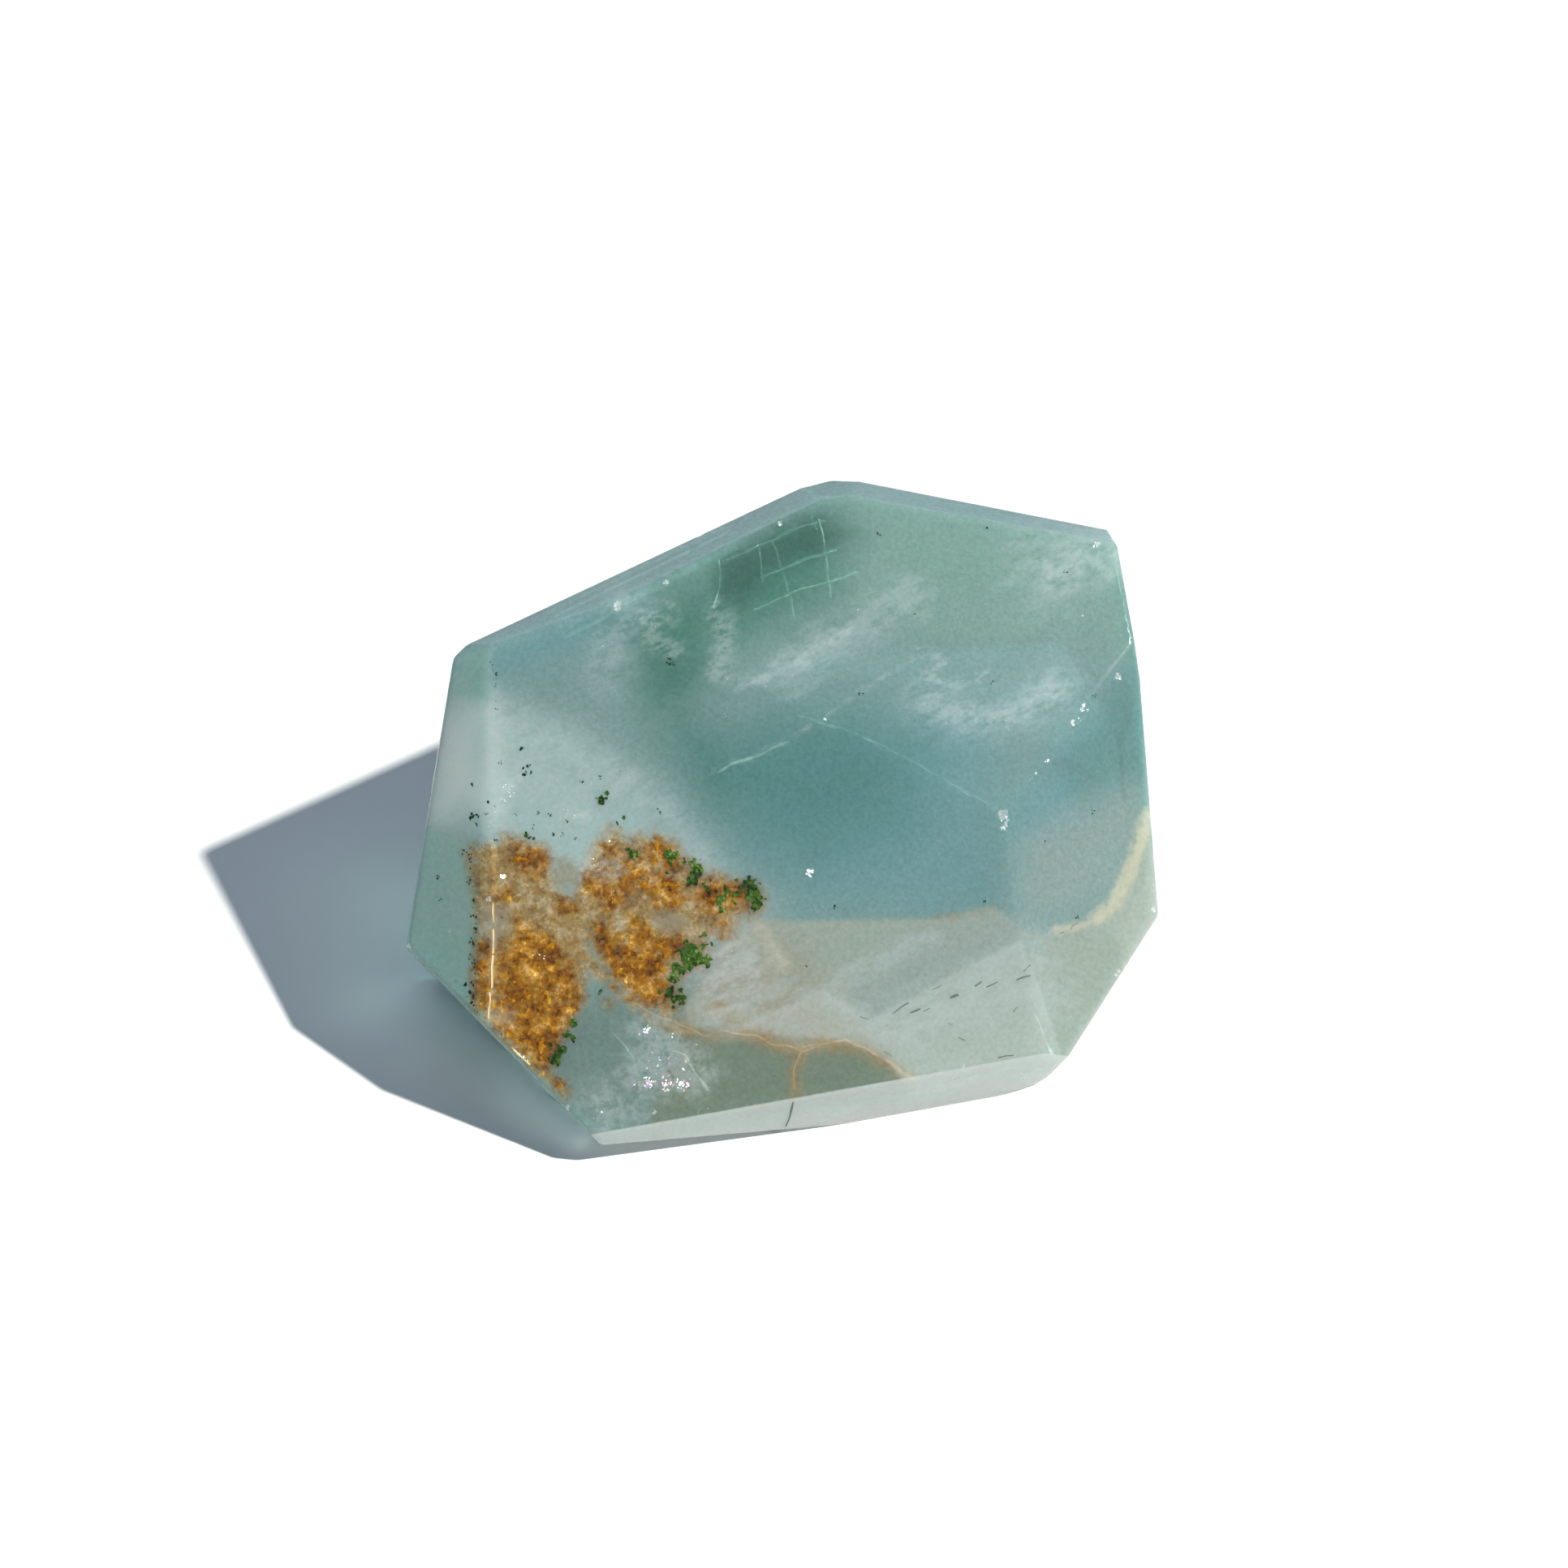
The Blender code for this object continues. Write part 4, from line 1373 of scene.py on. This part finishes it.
dark_cracks = bmesh.new()
for line in DARK_CRACKS:
    thickness = luck.uniform(THINNEST, THICKEST)
    top = luck.uniform(0.6, 1) * ABOVE
    hang_sheet(dark_cracks, line, OPEN_DEPTH, (0, 1), thickness, OPEN_WOBBLE, luck, top, cells=(12, 4))
grind(dark_cracks)
print("the open cracks have", len(dark_cracks.faces), "faces")
crack_dark = plain_material("crack_dark", srgb(74, 88, 76), 0.5)
join_in(mesh_object("open_cracks", dark_cracks, crack_dark))

# %% [markdown]
# ## The silvery flake
# Low on the left a sliver of crystal has almost split off inside the stone. The thin gap behind it
# is filled with air and mirrors the light, in places with the pink and green of an oil film. It is
# built as a heap of small plates, all turned nearly the same way: so that they throw the lamp's
# light toward the camera, a plate must face halfway between the two. A few more plates make the
# small glints at chips and crumbs.

# %% Plates that catch the light
# The middle, the spread in pixels, how many plates, the radius in millimetres, the tilt in degrees
FLAKES = (
    (797, 1268, 6, 18, 0.18, 5), (790, 1275, 8, 8, 0.10, 9), (800, 1334, 8, 26, 0.20, 6),
    (822, 1336, 9, 30, 0.22, 6), (842, 1336, 8, 26, 0.20, 6), (856, 1333, 5, 10, 0.10, 9),
    (780, 1339, 8, 12, 0.12, 9), (816, 1328, 9, 14, 0.13, 9), (1240, 1008, 3, 8, 0.13, 9),
    (1237, 1018, 3, 5, 0.10, 9), (634, 1291, 3, 5, 0.09, 6), (644, 1301, 3, 5, 0.08, 6),
    (866, 1322, 8, 6, 0.09, 9), (812, 1308, 24, 26, 0.18, 16), (830, 1290, 26, 22, 0.18, 18),
    (775, 1322, 12, 8, 0.12, 14), (862, 1364, 8, 5, 0.10, 9), (745, 1368, 10, 5, 0.10, 12),
    (620, 1080, 2, 6, 0.18, 2), (1016, 886, 1, 5, 0.16, 2), (997, 1074, 5, 10, 0.26, 3),
    (1340, 875, 2, 5, 0.09, 2), (1329, 885, 1, 4, 0.08, 3), (750, 1035, 2, 3, 0.08, 3),
    (962, 646, 1, 2, 0.06, 3), (822, 717, 2, 3, 0.07, 3), (637, 1297, 7, 8, 0.09, 6),
    (648, 1306, 4, 5, 0.08, 6), (503, 1166, 3, 5, 0.08, 6), (1376, 1199, 3, 4, 0.07, 6),
    (902, 1064, 1, 2, 0.06, 3), (554, 1148, 1, 2, 0.06, 3), (1334, 759, 1, 2, 0.06, 3),
)
PLATE_DEPTH = 0.06
PLATE_CORNERS = 7
PLATE_THICKNESS = 0.02 * MM
ANY_TURN = 6.28

luck = np.random.default_rng(71)
plates = bmesh.new()
tints = []
for across, down, spread, count, size, tilt in FLAKES:
    for pixel in crowd((across, down), spread, count, luck):
        spot = place(pixel, abs(luck.normal(0, PLATE_DEPTH)) * MM)
        into = (place(pixel, 1 * MM) - place(pixel)).normalized()
        facing_lamp = (key_lamp.location - spot).normalized() - into
        turn = facing_lamp.to_track_quat("Z", "Y").to_matrix()
        turn = turn @ Euler((*np.radians(luck.normal(0, tilt, 2)), luck.uniform(0, ANY_TURN))).to_matrix()
        stretch = Matrix.Diagonal((luck.uniform(0.5, 1.4), luck.uniform(0.3, 1), 1, 1))
        radius = luck.uniform(0.4, 1) * size * MM
        plate = bmesh.new()
        bmesh.ops.create_circle(plate, cap_ends=True, segments=PLATE_CORNERS, radius=radius)
        for vert in plate.verts:
            vert.co *= luck.uniform(0.35, 1)
        bmesh.ops.solidify(plate, geom=plate.faces[:], thickness=PLATE_THICKNESS)
        plate.transform(Matrix.Translation(spot) @ turn.to_4x4() @ stretch)
        plate.to_mesh(handful)
        plate.free()
        plates.from_mesh(handful)
        tints += [luck.uniform(0, 1)] * (len(plates.verts) - len(tints))
grind(plates)

# %% The flake takes its shine
SHINIEST, DULLER = 0.16, 0.40  # the roughness of the first tint, and what the last one adds
OIL_FILM = (
    (0.0, srgb(186, 200, 200)), (0.38, srgb(240, 246, 248)), (0.56, srgb(250, 120, 190)),
    (0.74, srgb(250, 180, 220)), (0.84, srgb(130, 230, 180)), (0.94, srgb(170, 150, 244)),
)
silvery = bpy.data.materials.new("silvery_plates")
silvery.use_nodes = True
tree = silvery.node_tree
shader = tree.nodes["Principled BSDF"]
tint = add(tree, "Attribute", attribute_name="tint").outputs["Fac"]
tree.links.new(ramp(tree, tint, OIL_FILM), shader.inputs["Base Color"])
shader.inputs["Metallic"].default_value = 0.8
tree.links.new(maths(tree, "MULTIPLY_ADD", tint, DULLER, SHINIEST), shader.inputs["Roughness"])
flake = mesh_object("cleavage_flake", plates, silvery)
flake.data.attributes.new("tint", "FLOAT", "POINT").data.foreach_set("value", np.array(tints, np.float32))
join_in(flake)
print("the flake has", len(flake.data.polygons), "faces")
